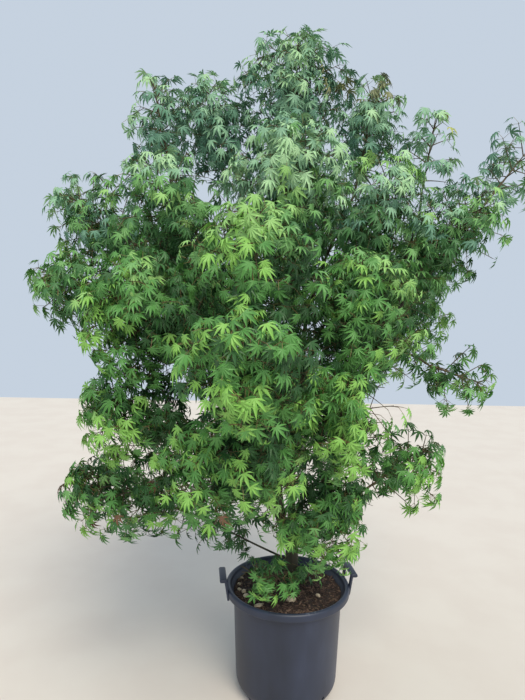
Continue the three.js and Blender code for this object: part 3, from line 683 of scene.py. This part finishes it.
def leaf_frames(outward, stalks, seeds):
    """Each leaf's length, width and face: the face turned out and up, the tip hanging like a hand"""
    normal = unit(outward + LEAF_FACE_UP * UP)
    side = unit(np.cross(normal, UP + 1e-3))
    rise = np.cross(side, normal)
    tilt = radians(LEAF_TILT)
    normal = normal + side * (tilt * (chance(seeds, 1) - 0.5))[:, None]
    normal = unit(normal + rise * (tilt * (chance(seeds, 2) - 0.5))[:, None])
    level = outward * [1, 1, 0]
    axis = LEAF_OUT * level - LEAF_HANG * UP + LEAF_FOLLOW * stalks
    axis = axis + side * (LEAF_STRAY * (chance(seeds, 3) - 0.5))[:, None]
    axis = unit(axis - normal * (axis * normal).sum(1, keepdims=True))
    return axis, np.cross(normal, axis), normal


# Meshes


def linked(name, data):
    """A new object, put into the scene"""
    thing = bpy.data.objects.new(name, data)
    bpy.context.scene.collection.objects.link(thing)
    return thing


def from_form(name, form):
    """A new object made of an edited form"""
    mesh = bpy.data.meshes.new(name)
    form.to_mesh(mesh)
    form.free()
    return linked(name, mesh)


def new_object(name, points, faces, finishes, face_finish=None, smooth=False):
    """One mesh object from points in millimetres; finishes are its materials"""
    mesh = bpy.data.meshes.new(name)
    faces = np.asarray(faces, np.int32)
    corners = faces.shape[1]
    mesh.vertices.add(len(points))
    mesh.vertices.foreach_set("co", (np.asarray(points) * MM).astype(np.float32).ravel())
    mesh.loops.add(faces.size)
    mesh.loops.foreach_set("vertex_index", faces.ravel())
    mesh.polygons.add(len(faces))
    mesh.polygons.foreach_set("loop_start", np.arange(0, faces.size, corners, dtype=np.int32))
    for finish in finishes:
        mesh.materials.append(finish)
    if face_finish is not None:
        mesh.polygons.foreach_set("material_index", np.asarray(face_finish, np.int32))
    mesh.polygons.foreach_set("use_smooth", np.full(len(faces), smooth))
    mesh.update(calc_edges=True)
    mesh.validate()
    return linked(name, mesh)


def own_piece(thing, replaced=()):
    """Hangs a piece of the plant on the root body, and hides the solids it stands for"""
    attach(thing, "root")
    if replaced:
        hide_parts(*replaced)


def rings(curve, radii, sides, steps):
    """Points of a round tube along a curve, and the quads between its rings"""
    shares = np.linspace(0, 1, steps + 1)
    angles = circle(sides)[:, None]
    points = []
    for share in shares:
        side, rise = across_at(curve, share)
        spoke = np.cos(angles) * side + np.sin(angles) * rise
        points.append(curve.at(share) + spoke * blend(*radii, share))
    return np.concatenate(points), ring_faces(sides, steps)


def ring_faces(sides, steps):
    """The quads between a tube's rings of points"""
    ring = np.arange(sides)
    after = (ring + 1) % sides
    base = (np.arange(steps) * sides)[:, None]
    quads = np.stack([base + ring, base + after, base + sides + after, base + sides + ring], axis=-1)
    return quads.reshape(-1, 4)


def joined(parts):
    """Several sets of points and faces as one"""
    points, faces, used = [], [], 0
    for own_points, own_faces in parts:
        points.append(own_points)
        faces.append(np.asarray(own_faces) + used)
        used += len(own_points)
    return np.concatenate(points), np.concatenate(faces)


def straight_stalks(starts, ends):
    """The stalks of leaves as thin straight tubes, all at once"""
    heading = unit(ends - starts)
    side = unit(np.cross(heading, [0.31, 0.17, 0.93]))
    rise = np.cross(heading, side)
    angles = circle(STALK_SIDES)[None, :, None]
    spokes = np.cos(angles) * side[:, None] + np.sin(angles) * rise[:, None]
    base, tip = STALK_RADII
    points = np.stack([starts[:, None] + spokes * base, ends[:, None] + spokes * tip], axis=1)
    shifts = (np.arange(len(starts)) * 2 * STALK_SIDES)[:, None, None]
    return points.reshape(-1, 3), (ring_faces(STALK_SIDES, 1)[None] + shifts).reshape(-1, 4)


# Leaves


def leaf_template(lobes, droop, fold):
    """Points and triangles of a palmate leaf round its joint: long pointed lobes with deep notches.
    Each lobe is folded along its rib, and hangs towards its tip."""
    def point(x, y, rise=0):
        return x, y, rise - droop * (x * x + y * y)

    turns = [radians(turn) for turn, _, _ in lobes]
    notches = [(turns[0] - 0.35, 0.1)]
    for i, (one, two) in enumerate(zip(lobes, lobes[1:])):
        notches.append(((turns[i] + turns[i + 1]) / 2, NOTCH * min(one[1], two[1])))
    notches.append((turns[-1] + 0.35, 0.1))
    points = [(0, 0, 0)]
    points += [point(reach * cos(turn), reach * sin(turn)) for turn, reach in notches]
    faces = []
    for i, (turn, (_, reach, width)) in enumerate(zip(turns, lobes)):
        left = len(points)
        side = LOBE_WIDEST, width, fold
        for part, out, rise in [(LOBE_WIDEST, -width, fold), (0.5, 0, 0), side, (1, 0, 0)]:
            x = reach * (cos(turn) * part - sin(turn) * out)
            y = reach * (sin(turn) * part + cos(turn) * out)
            points.append(point(x, y, rise * abs(out) * reach))
        rib, right, tip = left + 1, left + 2, left + 3
        low, high = i + 1, i + 2
        faces += [(0, low, rib), (low, left, rib), (left, tip, rib)]
        faces += [(rib, tip, right), (rib, right, high), (0, rib, high)]
    return np.array(points, float), np.array(faces)


def in_opening(places):
    """Whether a leaf there would close one of the gaps, seen from the front"""
    eye = np.array(CAMERA_PLACE, float)
    away = places - eye
    seen = eye + away * (-eye[1] / away[:, 1:2])
    inside = np.zeros(len(places), bool)
    for x, z, half_x, half_z in OPENINGS:
        inside |= ((seen[:, 0] - x) / half_x) ** 2 + ((seen[:, 2] - z) / half_z) ** 2 < 1
    return inside & (places[:, 1] < OPEN_BEFORE)


def leaf_points(growth, mass, samples):
    """Where the leaves of a mass stand, without those that would leave its space or touch a limb"""
    rows = np.array(growth.leaves.get(mass.name, np.empty((0, 11))))
    joints, stalks, roots, seeds, sprays = rows[:, :3], rows[:, 3:6], rows[:, 6:9], rows[:, 9], rows[:, 10]
    seeds, sprays = seeds.astype(np.int64), sprays.astype(np.int64)
    outward = unit((joints - mass.centre) / mass.half) + CROWN_PULL * unit(joints - CROWN_MIDDLE)
    outward = blend(unit(outward), stalks, LEAF_ALONG)
    axis, side, normal = leaf_frames(outward, stalks, seeds)
    sizes = LEAF_SIZE * LEAF_SCALES.get(mass.name, 1) * blend(*LEAF_SIZE_RANGE, chance(seeds, 4))
    sizes = sizes * blend(1, YOUNG_SCALE, youth(joints))
    tips = joints + axis * sizes[:, None] * 0.8
    inside = (mass.reach(tips, TIP_SPARE) <= 1) & (mass.reach(joints, TIP_SPARE) <= 1)
    inside &= clear_of_pot(tips, 4) & clear_of_pot(joints, 0) & ~in_opening(joints)
    near = mass.near(samples)
    if len(near):
        inside &= room_to_limbs(joints + axis * sizes[:, None] * 0.4, near) > LEAF_ROOM
    return [part[inside] for part in (joints, roots, axis, side, normal, sizes, seeds, sprays)]


def leaf_shades(mass, places, seeds, sprays):
    """Which leaf colour each leaf takes, dealt out by spray: fresh in front, then mid green, then the
    hazy green of the upper crown, paler and bluer as painted sky light; each in three shades, the deeper
    ones going more to leaves further inside, as painted shade"""
    _, y, z = places.T
    # Higher up and further back the rows turn to the hazy greens: painted sky light
    painted_sky_light = ROW_SKY_LIGHT * risen(z, SKY_LIGHT_FROM, SKY_LIGHT_OVER) + ROW_BACK * risen(y, 0, BACK_OVER)
    row = 1 - ROW_YOUTH * youth(places) + painted_sky_light + ROW_STRAY * (chance(sprays, 40) - 0.5)
    # Leaves further inside their mass take deeper shades: painted shade
    outward = ((places - mass.centre) / mass.half * unit(places - CROWN_MIDDLE)).sum(1)
    depth = PAINTED_SHADE_BASE - PAINTED_SHADE_OUT * np.clip(outward, -0.7, 0.8)
    dealt = SHADE_BY_SPRAY * chance(sprays, 41) + SHADE_BY_LEAF * chance(seeds, 41) + depth
    shade = 3 * np.clip(row, 0, 2.99).astype(int) + np.clip(3 * dealt, 0, 2.99).astype(int)
    bronze = chance(sprays, 42) < BRONZE_SHARE * risen(z, BRONZE_FROM, BRONZE_OVER)
    shade[bronze] = len(GREENS) + (chance(sprays[bronze], 43) * len(BRONZE)).astype(int)
    shade[(chance(seeds, 44) < BROWN_SHARE) & (z < BROWN_BELOW)] = LEAF_COLOURS.index(BROWN)
    shade[chance(sprays, 45) < YELLOW_SHARE] = LEAF_COLOURS.index(YELLOW)
    return shade


def mass_leaves(growth, mass, samples):
    """A mass's leaves as points and triangles of each kind, their colours, and their stalks"""
    joints, roots, axis, side, normal, sizes, seeds, sprays = leaf_points(growth, mass, samples)
    shade = leaf_shades(mass, joints, seeds, sprays)
    kind = (chance(seeds, 50) * len(LEAF_KINDS)).astype(int)
    parts, shades = [], []
    for k, (template, triangles) in enumerate(LEAF_KINDS):
        chosen = kind == k
        shape = template[None] * sizes[chosen, None, None]
        points = joints[chosen, None] + axis[chosen, None] * shape[..., :1]
        points = points + side[chosen, None] * shape[..., 1:2] + normal[chosen, None] * shape[..., 2:3]
        shifts = np.arange(len(points))[:, None, None] * len(template)
        parts.append((points.reshape(-1, 3), (triangles[None] + shifts).reshape(-1, 3)))
        shades.append(np.repeat(shade[chosen], len(triangles)))
    return parts, shades, straight_stalks(roots, joints)


def make_leaves(growth, masses, samples):
    """One piece of leaves for each region, and all their stalks as another"""
    finishes = [Finish(f"leaf_{i}", LEAF_ROUGHNESS, tint).material for i, tint in enumerate(LEAF_COLOURS)]
    stalks = []
    for region, names in REGIONS.items():
        parts, shades = [], []
        for name in names:
            own_parts, own_shades, own_stalks = mass_leaves(growth, masses[name], samples)
            parts += own_parts
            shades += own_shades
            stalks.append(own_stalks)
        piece = new_object(f"leaves_of_{region}", *joined(parts), finishes, np.concatenate(shades))
        own_piece(piece, [f"leaves_{name}" for name in names if name in MASSES])
    green = mottled("stalk", 0.6, [(0.3, 0x667039), (0.7, 0x7a5c3c)], 12, 0.1)
    own_piece(new_object("leaf_stalks", *joined(stalks), [green]))


def make_twigs(growth, stems):
    """The masses' stems, their first twigs and their fine twigs as one piece"""
    parts = [rings(stem, STEM_DRAWN, 8, 12) for stem in stems]
    parts += [rings(twig, TWIG_DRAWN, 5, 6) for twig in growth.twigs]
    parts += [rings(twig, FINE_DRAWN, 4, 3) for twig in growth.fine_twigs]
    finish = mottled("twig_bark", 0.7, [(0.3, 0x4a4a2c), (0.6, 0x5a4834), (0.8, 0x565e38)], 9, 0.2)
    own_piece(new_object("twigs", *joined(parts), [finish], smooth=True))


# Bark


def tube(curve, radii, sides, steps, swell):
    """A tube along a curve, swollen by a factor at each of its points and nearly closed at its tip"""
    points, faces = rings(curve, radii, sides, steps)
    middles = np.array([curve.at(share) for share in np.linspace(0, 1, steps + 1)])[:, None]
    points = middles + (points.reshape(steps + 1, sides, 3) - middles) * swell[..., None]
    points[-1] = middles[-1] + (points[-1] - middles[-1]) * 0.1
    return points.reshape(-1, 3), faces


def bark_tube(limb, sides, relief, collar):
    """A limb with the ridges of its bark, the swollen joints of its twigs and a collar where it starts"""
    steps = max(4, round(limb.curve.length / RING_STEP))
    shares = np.linspace(0, 1, steps + 1)[:, None]
    along = shares * limb.curve.length
    angle = circle(sides)
    ridges = np.sin(5 * angle + 2 * np.sin(along / 71)) + 0.7 * np.sin(9 * angle - along / 37)
    ridges = ridges + 0.6 * np.sin(along / 13 + 3 * angle)
    joint = np.exp(-(((along % JOINT_STEP) - JOINT_STEP / 2) / 5) ** 2)
    start_swell = collar * np.exp(-along / (1.7 * limb.radii[0]))
    slim = blend(*limb.radii, shares**SLIMMING) / blend(*limb.radii, shares)
    swell = (1 + relief * ridges + 0.09 * joint + start_swell) * slim
    return tube(limb.curve, limb.radii, sides, steps, swell)


def trunk_tube(trunk):
    """The trunk, flared at the soil, with deeper ridges than the limbs"""
    shares = np.linspace(0, 1, TRUNK_STEPS + 1)[:, None]
    angle = circle(TRUNK_SIDES)
    along = shares * trunk.curve.length
    ridges = np.sin(7 * angle + np.sin(along / 43)) + 0.6 * np.sin(13 * angle - along / 31)
    radius = trunk_radius(shares, angle) * (1 + 0.022 * ridges) + 1.2 * np.sin(along / 17 + 2 * angle)
    return tube(trunk.curve, (1, 1), TRUNK_SIDES, TRUNK_STEPS, radius)


def make_bark(grown):
    """The trunk and the limbs as one piece, with older bark on the trunk and the stems"""
    old = bark_finish("old_bark", [(0.3, 0x2e2c24), (0.55, 0x4e4a3c), (0.75, 0x6c6450)], 18)
    young = bark_finish("young_bark", [(0.3, 0x3a3a28), (0.6, 0x54523a), (0.8, 0x6c664a)], 26)
    parts = [trunk_tube(grown["trunk"])]
    parts += [bark_tube(grown[name], 14, 0.02, 0.3) for name in LIMBS if name.startswith("stem")]
    old_faces = sum(len(faces) for _, faces in parts)
    parts += [bark_tube(grown[name], 12, 0.018, 0.35) for name in LIMBS if name.startswith("bough")]
    points, faces = joined(parts)
    kinds = (np.arange(len(faces)) >= old_faces).astype(int)
    bark = new_object("trunk_and_boughs", points, faces, [old, young], kinds, smooth=True)
    own_piece(bark, ["trunk", *LIMBS])


# Pot


def arc(x, z, size, a, b, steps):
    """Places on an arc round a middle, from one angle to another in degrees"""
    turns = np.radians(np.linspace(a, b, steps + 1))
    return [(x + size * cos(turn), z + size * sin(turn)) for turn in turns]


def stepped(radius, height, *offsets):
    """Places of a section by their offsets from one of them"""
    return [(radius + out, height + up) for out, up in offsets]


def pot_profile():
    """Radius and height along the pot's section, from the middle of its underside to that of its floor"""
    rim_foot = POT_HEIGHT - RIM_DEPTH
    return [
        (0, 0), *arc(FOOT_RADIUS - 3, 3, 3, -90, 0, 4),
        *stepped(FOOT_RADIUS, FOOT_HEIGHT, (2.5, -8), (7, 0), (12.5, 7.5), (18, 14), (21.5, 21)),
        *stepped(SHOULDER_RADIUS, SHOULDER_HEIGHT, (0, 0), (1.2, 10)),
        *stepped(WALL_TOP_RADIUS, rim_foot, (0, -8), (2, -3), (5, 0)),
        *arc(RIM_RADIUS - 5, rim_foot + 5, 5, -90, 0, 5),
        *arc(RIM_RADIUS - RIM_ROUND, POT_HEIGHT - RIM_ROUND, RIM_ROUND, 0, 180, 16),
        *stepped(WALL_TOP_RADIUS, rim_foot, (9, 12), (4, 5), (-0.5, -2), (-POT_WALL, -9)),
        (SHOULDER_RADIUS - POT_WALL, SHOULDER_HEIGHT), (FOOT_RADIUS + 14, FOOT_HEIGHT + 14),
        (FOOT_RADIUS - 1, POT_WALL), (0, POT_WALL),
    ]


def turned(name, profile, sides):
    """A shape turned round the Z axis"""
    radii, heights = np.array(profile).T[..., None]
    angle = circle(sides)
    level = heights + np.zeros(sides)
    points = np.stack([radii * np.cos(angle), radii * np.sin(angle), level], axis=-1).reshape(-1, 3)
    return cleaned(new_object(name, points, ring_faces(sides, len(profile) - 1), []))


def cleaned(thing):
    """Points that coincide become one, and every face points out"""
    form = bmesh.new()
    form.from_mesh(thing.data)
    bmesh.ops.remove_doubles(form, verts=form.verts, dist=1e-6)
    bmesh.ops.recalc_face_normals(form, faces=form.faces)
    form.to_mesh(thing.data)
    form.free()
    return thing


def settled(thing):
    """The object with its modifiers made part of its mesh"""
    graph = bpy.context.evaluated_depsgraph_get()
    mesh = bpy.data.meshes.new_from_object(thing.evaluated_get(graph))
    thing.modifiers.clear()
    thing.data = mesh
    return thing


def cut_drains(pot):
    """Oval drain holes through the pot's shoulder"""
    turn = circle(DRAIN_SIDES)[:, None]
    parts = []
    for i in range(DRAIN_COUNT):
        angle = radians(DRAIN_TURN + 360 / DRAIN_COUNT * i)
        out = np.array([cos(angle), sin(angle), 0])
        beside = np.array([-sin(angle), cos(angle), 0])
        loop = DRAIN_WIDTH / 2 * np.cos(turn) * beside + DRAIN_HEIGHT / 2 * np.sin(turn) * UP
        middle = out * (SHOULDER_RADIUS - 8) + UP * DRAIN_Z
        loops = [middle + out * far + loop * wide for far, wide in DRAIN_LOOPS]
        parts.append((np.concatenate(loops), ring_faces(DRAIN_SIDES, 3)))
    cutter = cleaned(new_object("drain_cutter", *joined(parts), []))
    cut = pot.modifiers.new("drains", "BOOLEAN")
    cut.object, cut.operation, cut.solver = cutter, "DIFFERENCE", "EXACT"
    settled(pot)
    bpy.data.objects.remove(cutter)


def smoothed(thing, degrees=35):
    """The object shaded smooth, but for its edges sharper than the angle"""
    thing.data.polygons.foreach_set("use_smooth", np.ones(len(thing.data.polygons), bool))
    thing.data.set_sharp_from_angle(angle=radians(degrees))
    return thing


def prism(name, outline, low, high, order):
    """A prism: an outline in two axes, pulled along the third; order places the axes"""
    count = len(outline)
    ends = [np.column_stack([outline, np.full(count, end)]) for end in (low, high)]
    form = bmesh.new()
    corners = [form.verts.new(point * MM) for point in np.concatenate(ends)[:, order]]
    form.faces.new(corners[:count])
    form.faces.new(corners[count:])
    for i in range(count):
        after = (i + 1) % count
        form.faces.new([corners[i], corners[after], corners[count + after], corners[count + i]])
    bmesh.ops.recalc_face_normals(form, faces=form.faces)
    return from_form(name, form)


def bevelled(thing, width):
    """The object with its edges rounded"""
    bevel = thing.modifiers.new("bevel", "BEVEL")
    bevel.width, bevel.segments, bevel.limit_method = width * MM, BEVEL_STEPS, "ANGLE"
    bevel.angle_limit = radians(40)
    return settled(thing)


def handle_legs():
    """The two legs, leaning outwards on the rim"""
    half, top = HANDLE_LEG / 2, HANDLE_TOP - GRIP_HEIGHT / 2
    outline = [(-half, top), *arc(0, HANDLE_BOTTOM + half, half, 180, 360, 12), (half, top)]
    pivot = Matrix.Translation(Vector((RIM_RADIUS - HANDLE_INSET, 0, POT_HEIGHT - RIM_DEPTH / 2)) * MM)
    lean = pivot @ Matrix.Rotation(radians(HANDLE_LEAN), 4, "Y")
    lean = lean @ Matrix.Translation(Vector((0, 0, RIM_DEPTH / 2 - POT_HEIGHT)) * MM)
    legs = []
    for side in (1, -1):
        leg = bevelled(prism("leg", outline, 0, HANDLE_PLATE, [2, 0, 1]), LEG_BEVEL)
        along_rim = Vector((0, side * (HANDLE_LENGTH - HANDLE_LEG) / 2, 0)) * MM
        leg.data.transform(lean @ Matrix.Translation(along_rim))
        legs.append(leg)
    return legs


def handle_grip():
    """The bar that joins the legs' tops"""
    edge = GRIP_HEIGHT / 2
    outline = [*arc(edge, 0, edge, 90, 270, 10), *arc(GRIP_DEPTH - edge, 0, edge, -90, 90, 10)]
    grip = bevelled(prism("grip", outline, -HANDLE_LENGTH / 2, HANDLE_LENGTH / 2, [0, 2, 1]), GRIP_BEVEL)
    outward = tan(radians(HANDLE_LEAN)) * (HANDLE_TOP - POT_HEIGHT)
    place = Vector((RIM_RADIUS - HANDLE_INSET + outward, 0, HANDLE_TOP - edge)) * MM
    grip.data.transform(Matrix.Translation(place))
    return grip


def make_handle(name, turn):
    form = bmesh.new()
    for part in (*handle_legs(), handle_grip()):
        form.from_mesh(part.data)
        bpy.data.objects.remove(part)
    handle = from_form(name, form)
    handle.data.transform(Matrix.Rotation(radians(turn), 4, "Z"))
    return smoothed(handle)


def make_pot():
    """The pot and its two handles, of the same plastic"""
    plastic = plastic_finish()
    pot = turned("moulded_pot", pot_profile(), POT_SIDES)
    cut_drains(pot)
    pieces = {"pot": smoothed(pot)}
    for name, turn in (("handle_right", HANDLE_TURN), ("handle_left", HANDLE_TURN + 180)):
        pieces[name] = make_handle(f"moulded_{name}", turn)
    for name, piece in pieces.items():
        piece.data.materials.append(plastic)
        own_piece(piece, [name])


# Soil


def ground_height(x, y):
    """The soil's uneven top, falling a little to the pot's wall"""
    rough = noise.noise(Vector((x / 38, y / 38, 0))) * 3.2 + noise.noise(Vector((x / 11, y / 11, 5))) * 1.6
    edge = SOIL_EDGE_DROP * max(0, hypot(x, y) - 120) / 80
    return SOIL_TOP - 1 + rough - edge


def soil_top():
    """The soil's top in rings, and one more ring below its edge"""
    radii = np.linspace(1, SOIL_RADIUS, SOIL_STEPS + 1)[:, None]
    angle = circle(SOIL_SIDES)
    flat = np.stack([radii * np.cos(angle), radii * np.sin(angle)], axis=-1).reshape(-1, 2)
    points = [(x, y, ground_height(x, y)) for x, y in flat]
    foot = [(x * 0.97, y * 0.97, SOIL_TOP - 20) for x, y in flat[-SOIL_SIDES:]]
    return np.array(points + foot), ring_faces(SOIL_SIDES, SOIL_STEPS + 1)


def bark_chips(numbers):
    """Ragged chips strewn over the soil, with six faces each"""
    distance = (SOIL_RADIUS - 6) * np.sqrt(chance(numbers, 1))
    around = tau * chance(numbers, 2)
    middles = np.column_stack([distance * np.cos(around), distance * np.sin(around), np.zeros(CHIP_COUNT)])
    middles[:, 2] = [ground_height(x, y) + 1 for x, y, _ in middles]
    lengths = blend(*CHIP_LENGTHS, chance(numbers, 3)**2)
    sizes = np.column_stack([
        lengths, blend(*CHIP_WIDTHS, chance(numbers, 4)), blend(*CHIP_HEIGHTS, chance(numbers, 5)),
    ])
    turn, pitch = tau * chance(numbers, 6), radians(CHIP_PITCH) * (chance(numbers, 7) - 0.5)
    along = np.column_stack([np.cos(turn) * np.cos(pitch), np.sin(turn) * np.cos(pitch), np.sin(pitch)])
    beside = unit(np.cross(UP, along))
    over = np.cross(along, beside)
    corners = []
    for k in range(8):
        sign = [1 if k & bit else -1 for bit in (4, 2, 1)]
        ragged = 0.32 + 0.36 * np.column_stack([chance(numbers, 10 + 3 * k + i) for i in range(3)])
        step = sizes * sign * ragged
        corners.append(middles + along * step[:, :1] + beside * step[:, 1:2] + over * step[:, 2:])
    faces = (np.array(BOX_FACES)[None] + numbers[:, None, None] * 8).reshape(-1, 4)
    return np.stack(corners, axis=1).reshape(-1, 3), faces


def make_pebble(name, x, y, width, depth, height):
    form = bmesh.new()
    bmesh.ops.create_icosphere(form, subdivisions=3, radius=1)
    for corner in form.verts:
        wide, fine = noise.noise(corner.co * 1.3 + Vector((x, y, 0))), noise.noise(corner.co * 4)
        wobble = 1 + 0.22 * wide + 0.06 * fine
        corner.co = Vector((corner.co.x * width, corner.co.y * depth, corner.co.z * height)) * wobble
    pebble = from_form(name, form)
    place = Matrix.Translation(Vector((x, y, ground_height(x, y) + height * 0.45)) * MM)
    pebble.data.transform(place @ Matrix.Rotation(x * 0.7, 4, "Z") @ Matrix.Scale(MM, 4))
    return smoothed(pebble, 180)


def make_soil():
    """The soil with its chips of bark as one piece, and the pebbles on it"""
    finishes = [
        mottled("compost", 0.95, [(0.3, 0x1c1513), (0.7, 0x3a2c27)], 40, 0.8),
        mottled("dark_chip", 0.9, [(0.3, 0x2a1f1b), (0.7, 0x46362f)], 30),
        mottled("brown_chip", 0.9, [(0.3, 0x3f2f28), (0.7, 0x5b463c)], 30),
        mottled("pale_chip", 0.85, [(0.3, 0x584538), (0.7, 0x766052)], 30),
    ]
    numbers = np.arange(CHIP_COUNT)
    top = soil_top()
    kinds = (chance(numbers, 60) ** 1.4 * (len(finishes) - 1)).astype(int) + 1
    kinds = np.concatenate([np.zeros(len(top[1]), int), np.repeat(kinds, len(BOX_FACES))])
    soil = new_object("potting_bark", *joined([top, bark_chips(numbers)]), finishes, kinds)
    own_piece(soil, ["soil"])
    stone = mottled("pebble_stone", 0.7, [(0.3, 0x9a8a74), (0.7, 0xd2c4aa)], 45, 0.2)
    for i, row in enumerate(PEBBLES):
        pebble = make_pebble(f"pebble_{i}", *row)
        pebble.data.materials.append(stone)
        own_piece(pebble)


# Finishes


def tone(colour):
    """A colour given as a screen value, in linear light"""
    parts = [(colour >> shift & 255) / 255 for shift in (16, 8, 0)]
    return (*[part / 12.92 if part <= 0.04045 else ((part + 0.055) / 1.055) ** 2.4 for part in parts], 1)


class Finish:
    """A material, with the nodes that make it vary over a surface"""

    def __init__(self, name, roughness, colour=None):
        self.material = bpy.data.materials.new(name)
        self.material.use_nodes = True
        self.tree = self.material.node_tree
        self.shader = self.tree.nodes["Principled BSDF"]
        self.shader.inputs["Roughness"].default_value = roughness
        if colour is not None:
            self.shader.inputs["Base Color"].default_value = tone(colour)

    def node(self, kind, **inputs):
        """A new node; each input is a value or another node's output"""
        node = self.tree.nodes.new(f"ShaderNode{kind}")
        for name, value in inputs.items():
            if isinstance(value, bpy.types.NodeSocket):
                self.tree.links.new(value, node.inputs[name])
            else:
                node.inputs[name].default_value = value
        return node

    def noise(self, scale, detail=4, stretch=(1, 1, 1)):
        places = self.node("TexCoord").outputs["Object"]
        stretched = self.node("Mapping", Vector=places, Scale=stretch).outputs["Vector"]
        return self.node("TexNoise", Vector=stretched, Scale=scale, Detail=detail).outputs["Fac"]

    def ramp(self, source, stops):
        node = self.node("ValToRGB", Fac=source)
        entries = node.color_ramp.elements
        while len(entries) < len(stops):
            entries.new(0.5)
        for entry, (place, colour) in zip(entries, stops):
            entry.position, entry.color = place, tone(colour)
        return node.outputs["Color"]

    def mixed(self, share, one, other):
        """One colour turning into another; a mix node's inputs 6 and 7 are its two colours"""
        node = self.node("Mix")
        node.data_type = "RGBA"
        self.tree.links.new(share, node.inputs["Factor"])
        self.tree.links.new(one, node.inputs[6])
        self.tree.links.new(other, node.inputs[7])
        return node.outputs[2]

    def paint(self, colour):
        self.tree.links.new(colour, self.shader.inputs["Base Color"])

    def relief(self, source, strength, distance):
        bump = self.node("Bump", Strength=strength, Distance=distance, Height=source)
        self.tree.links.new(bump.outputs["Normal"], self.shader.inputs["Normal"])
        return self


def plastic_finish():
    finish = Finish("pot_plastic", 0.44)
    shades = [(0.35, 0x222938), (0.6, 0x2C3448), (0.78, 0x3A435A)]
    worn = finish.ramp(finish.noise(7, 6, (1, 1, 0.35)), shades)
    scuffs = finish.ramp(finish.noise(26, 5, (1, 1, 0.06)), [(0.68, 0x000000), (0.8, 0xffffff)])
    pale = finish.ramp(finish.noise(40, 3), [(0.3, 0x59616e), (0.7, 0x7d838c)])
    finish.paint(finish.mixed(scuffs, worn, pale))
    return finish.relief(finish.noise(300, 3), 0.12, 0.0006).material


def bark_finish(name, stops, fine):
    finish = Finish(name, 0.85)
    finish.paint(finish.ramp(finish.noise(fine, 8, (1, 1, 0.22)), stops))
    return finish.relief(finish.noise(fine * 2.2, 6, (1, 1, 0.3)), 0.5, 0.003).material


def mottled(name, roughness, stops, scale, relief=0.3):
    finish = Finish(name, roughness)
    finish.paint(finish.ramp(finish.noise(scale, 5), stops))
    return finish.relief(finish.noise(scale * 3, 4), relief, 0.002).material


# Studio


def make_studio():
    """A plain pale floor, a pale sky and one soft light"""
    bpy.ops.mesh.primitive_plane_add(size=14, location=(0, 0, 0))
    floor = bpy.context.object
    floor.name = "studio_floor"
    floor.data.materials.append(mottled("studio_paper", 0.9, [(0.4, 0xD3CBC2), (0.6, 0xD6CFC6)], 3, 0))
    world = bpy.data.worlds.new("studio")
    bpy.context.scene.world = world
    world.use_nodes = True
    sky = world.node_tree.nodes["Background"]
    sky.inputs["Color"].default_value = tone(SKY_COLOUR)
    sky.inputs["Strength"].default_value = SKY_STRENGTH
    sun = bpy.data.lights.new("window_light", "SUN")
    sun.energy, sun.angle = SUN_ENERGY, radians(SUN_SOFTNESS)
    sun.color = tone(SUN_COLOUR)[:3]
    lamp = linked("window_light", sun)
    lamp.rotation_mode = "QUATERNION"
    lamp.rotation_quaternion = Vector(SUN_FROM).to_track_quat("Z", "Y")
    bpy.context.scene.view_settings.view_transform = "Standard"


def make_camera():
    """The camera, pitched a little down and rolled a little"""
    data = bpy.data.cameras.new("viewer")
    data.sensor_width, data.sensor_fit, data.lens = 36, "AUTO", CAMERA_LENS
    data.clip_start, data.clip_end = 0.05, 60
    camera = linked("viewer", data)
    pitch, roll = radians(CAMERA_PITCH), radians(CAMERA_ROLL)
    forward = Vector((0, cos(pitch), -sin(pitch)))
    level = Vector((cos(roll), 0, 0)) + Vector((0, sin(pitch), cos(pitch))) * sin(roll)
    turn = Matrix((level, level.cross(forward), -forward)).transposed().to_4x4()
    camera.matrix_world = Matrix.Translation(Vector(CAMERA_PLACE) * MM) @ turn
    bpy.context.scene.camera = camera


LEAF_KINDS = [leaf_template(*kind) for kind in LEAF_SHAPES]
masses = prepare_masses()
grown = grow_limbs(masses)
samples = np.concatenate([limb.samples for limb in grown.values()])
growth = Growth()
stems = [grow_mass(growth, mass, grown, samples) for mass in masses.values()]
for name, limb in grown.items():
    grow_along(growth, masses, name, limb)

make_leaves(growth, masses, samples)
make_twigs(growth, stems)
make_bark(grown)
make_pot()
make_soil()
make_studio()
make_camera()
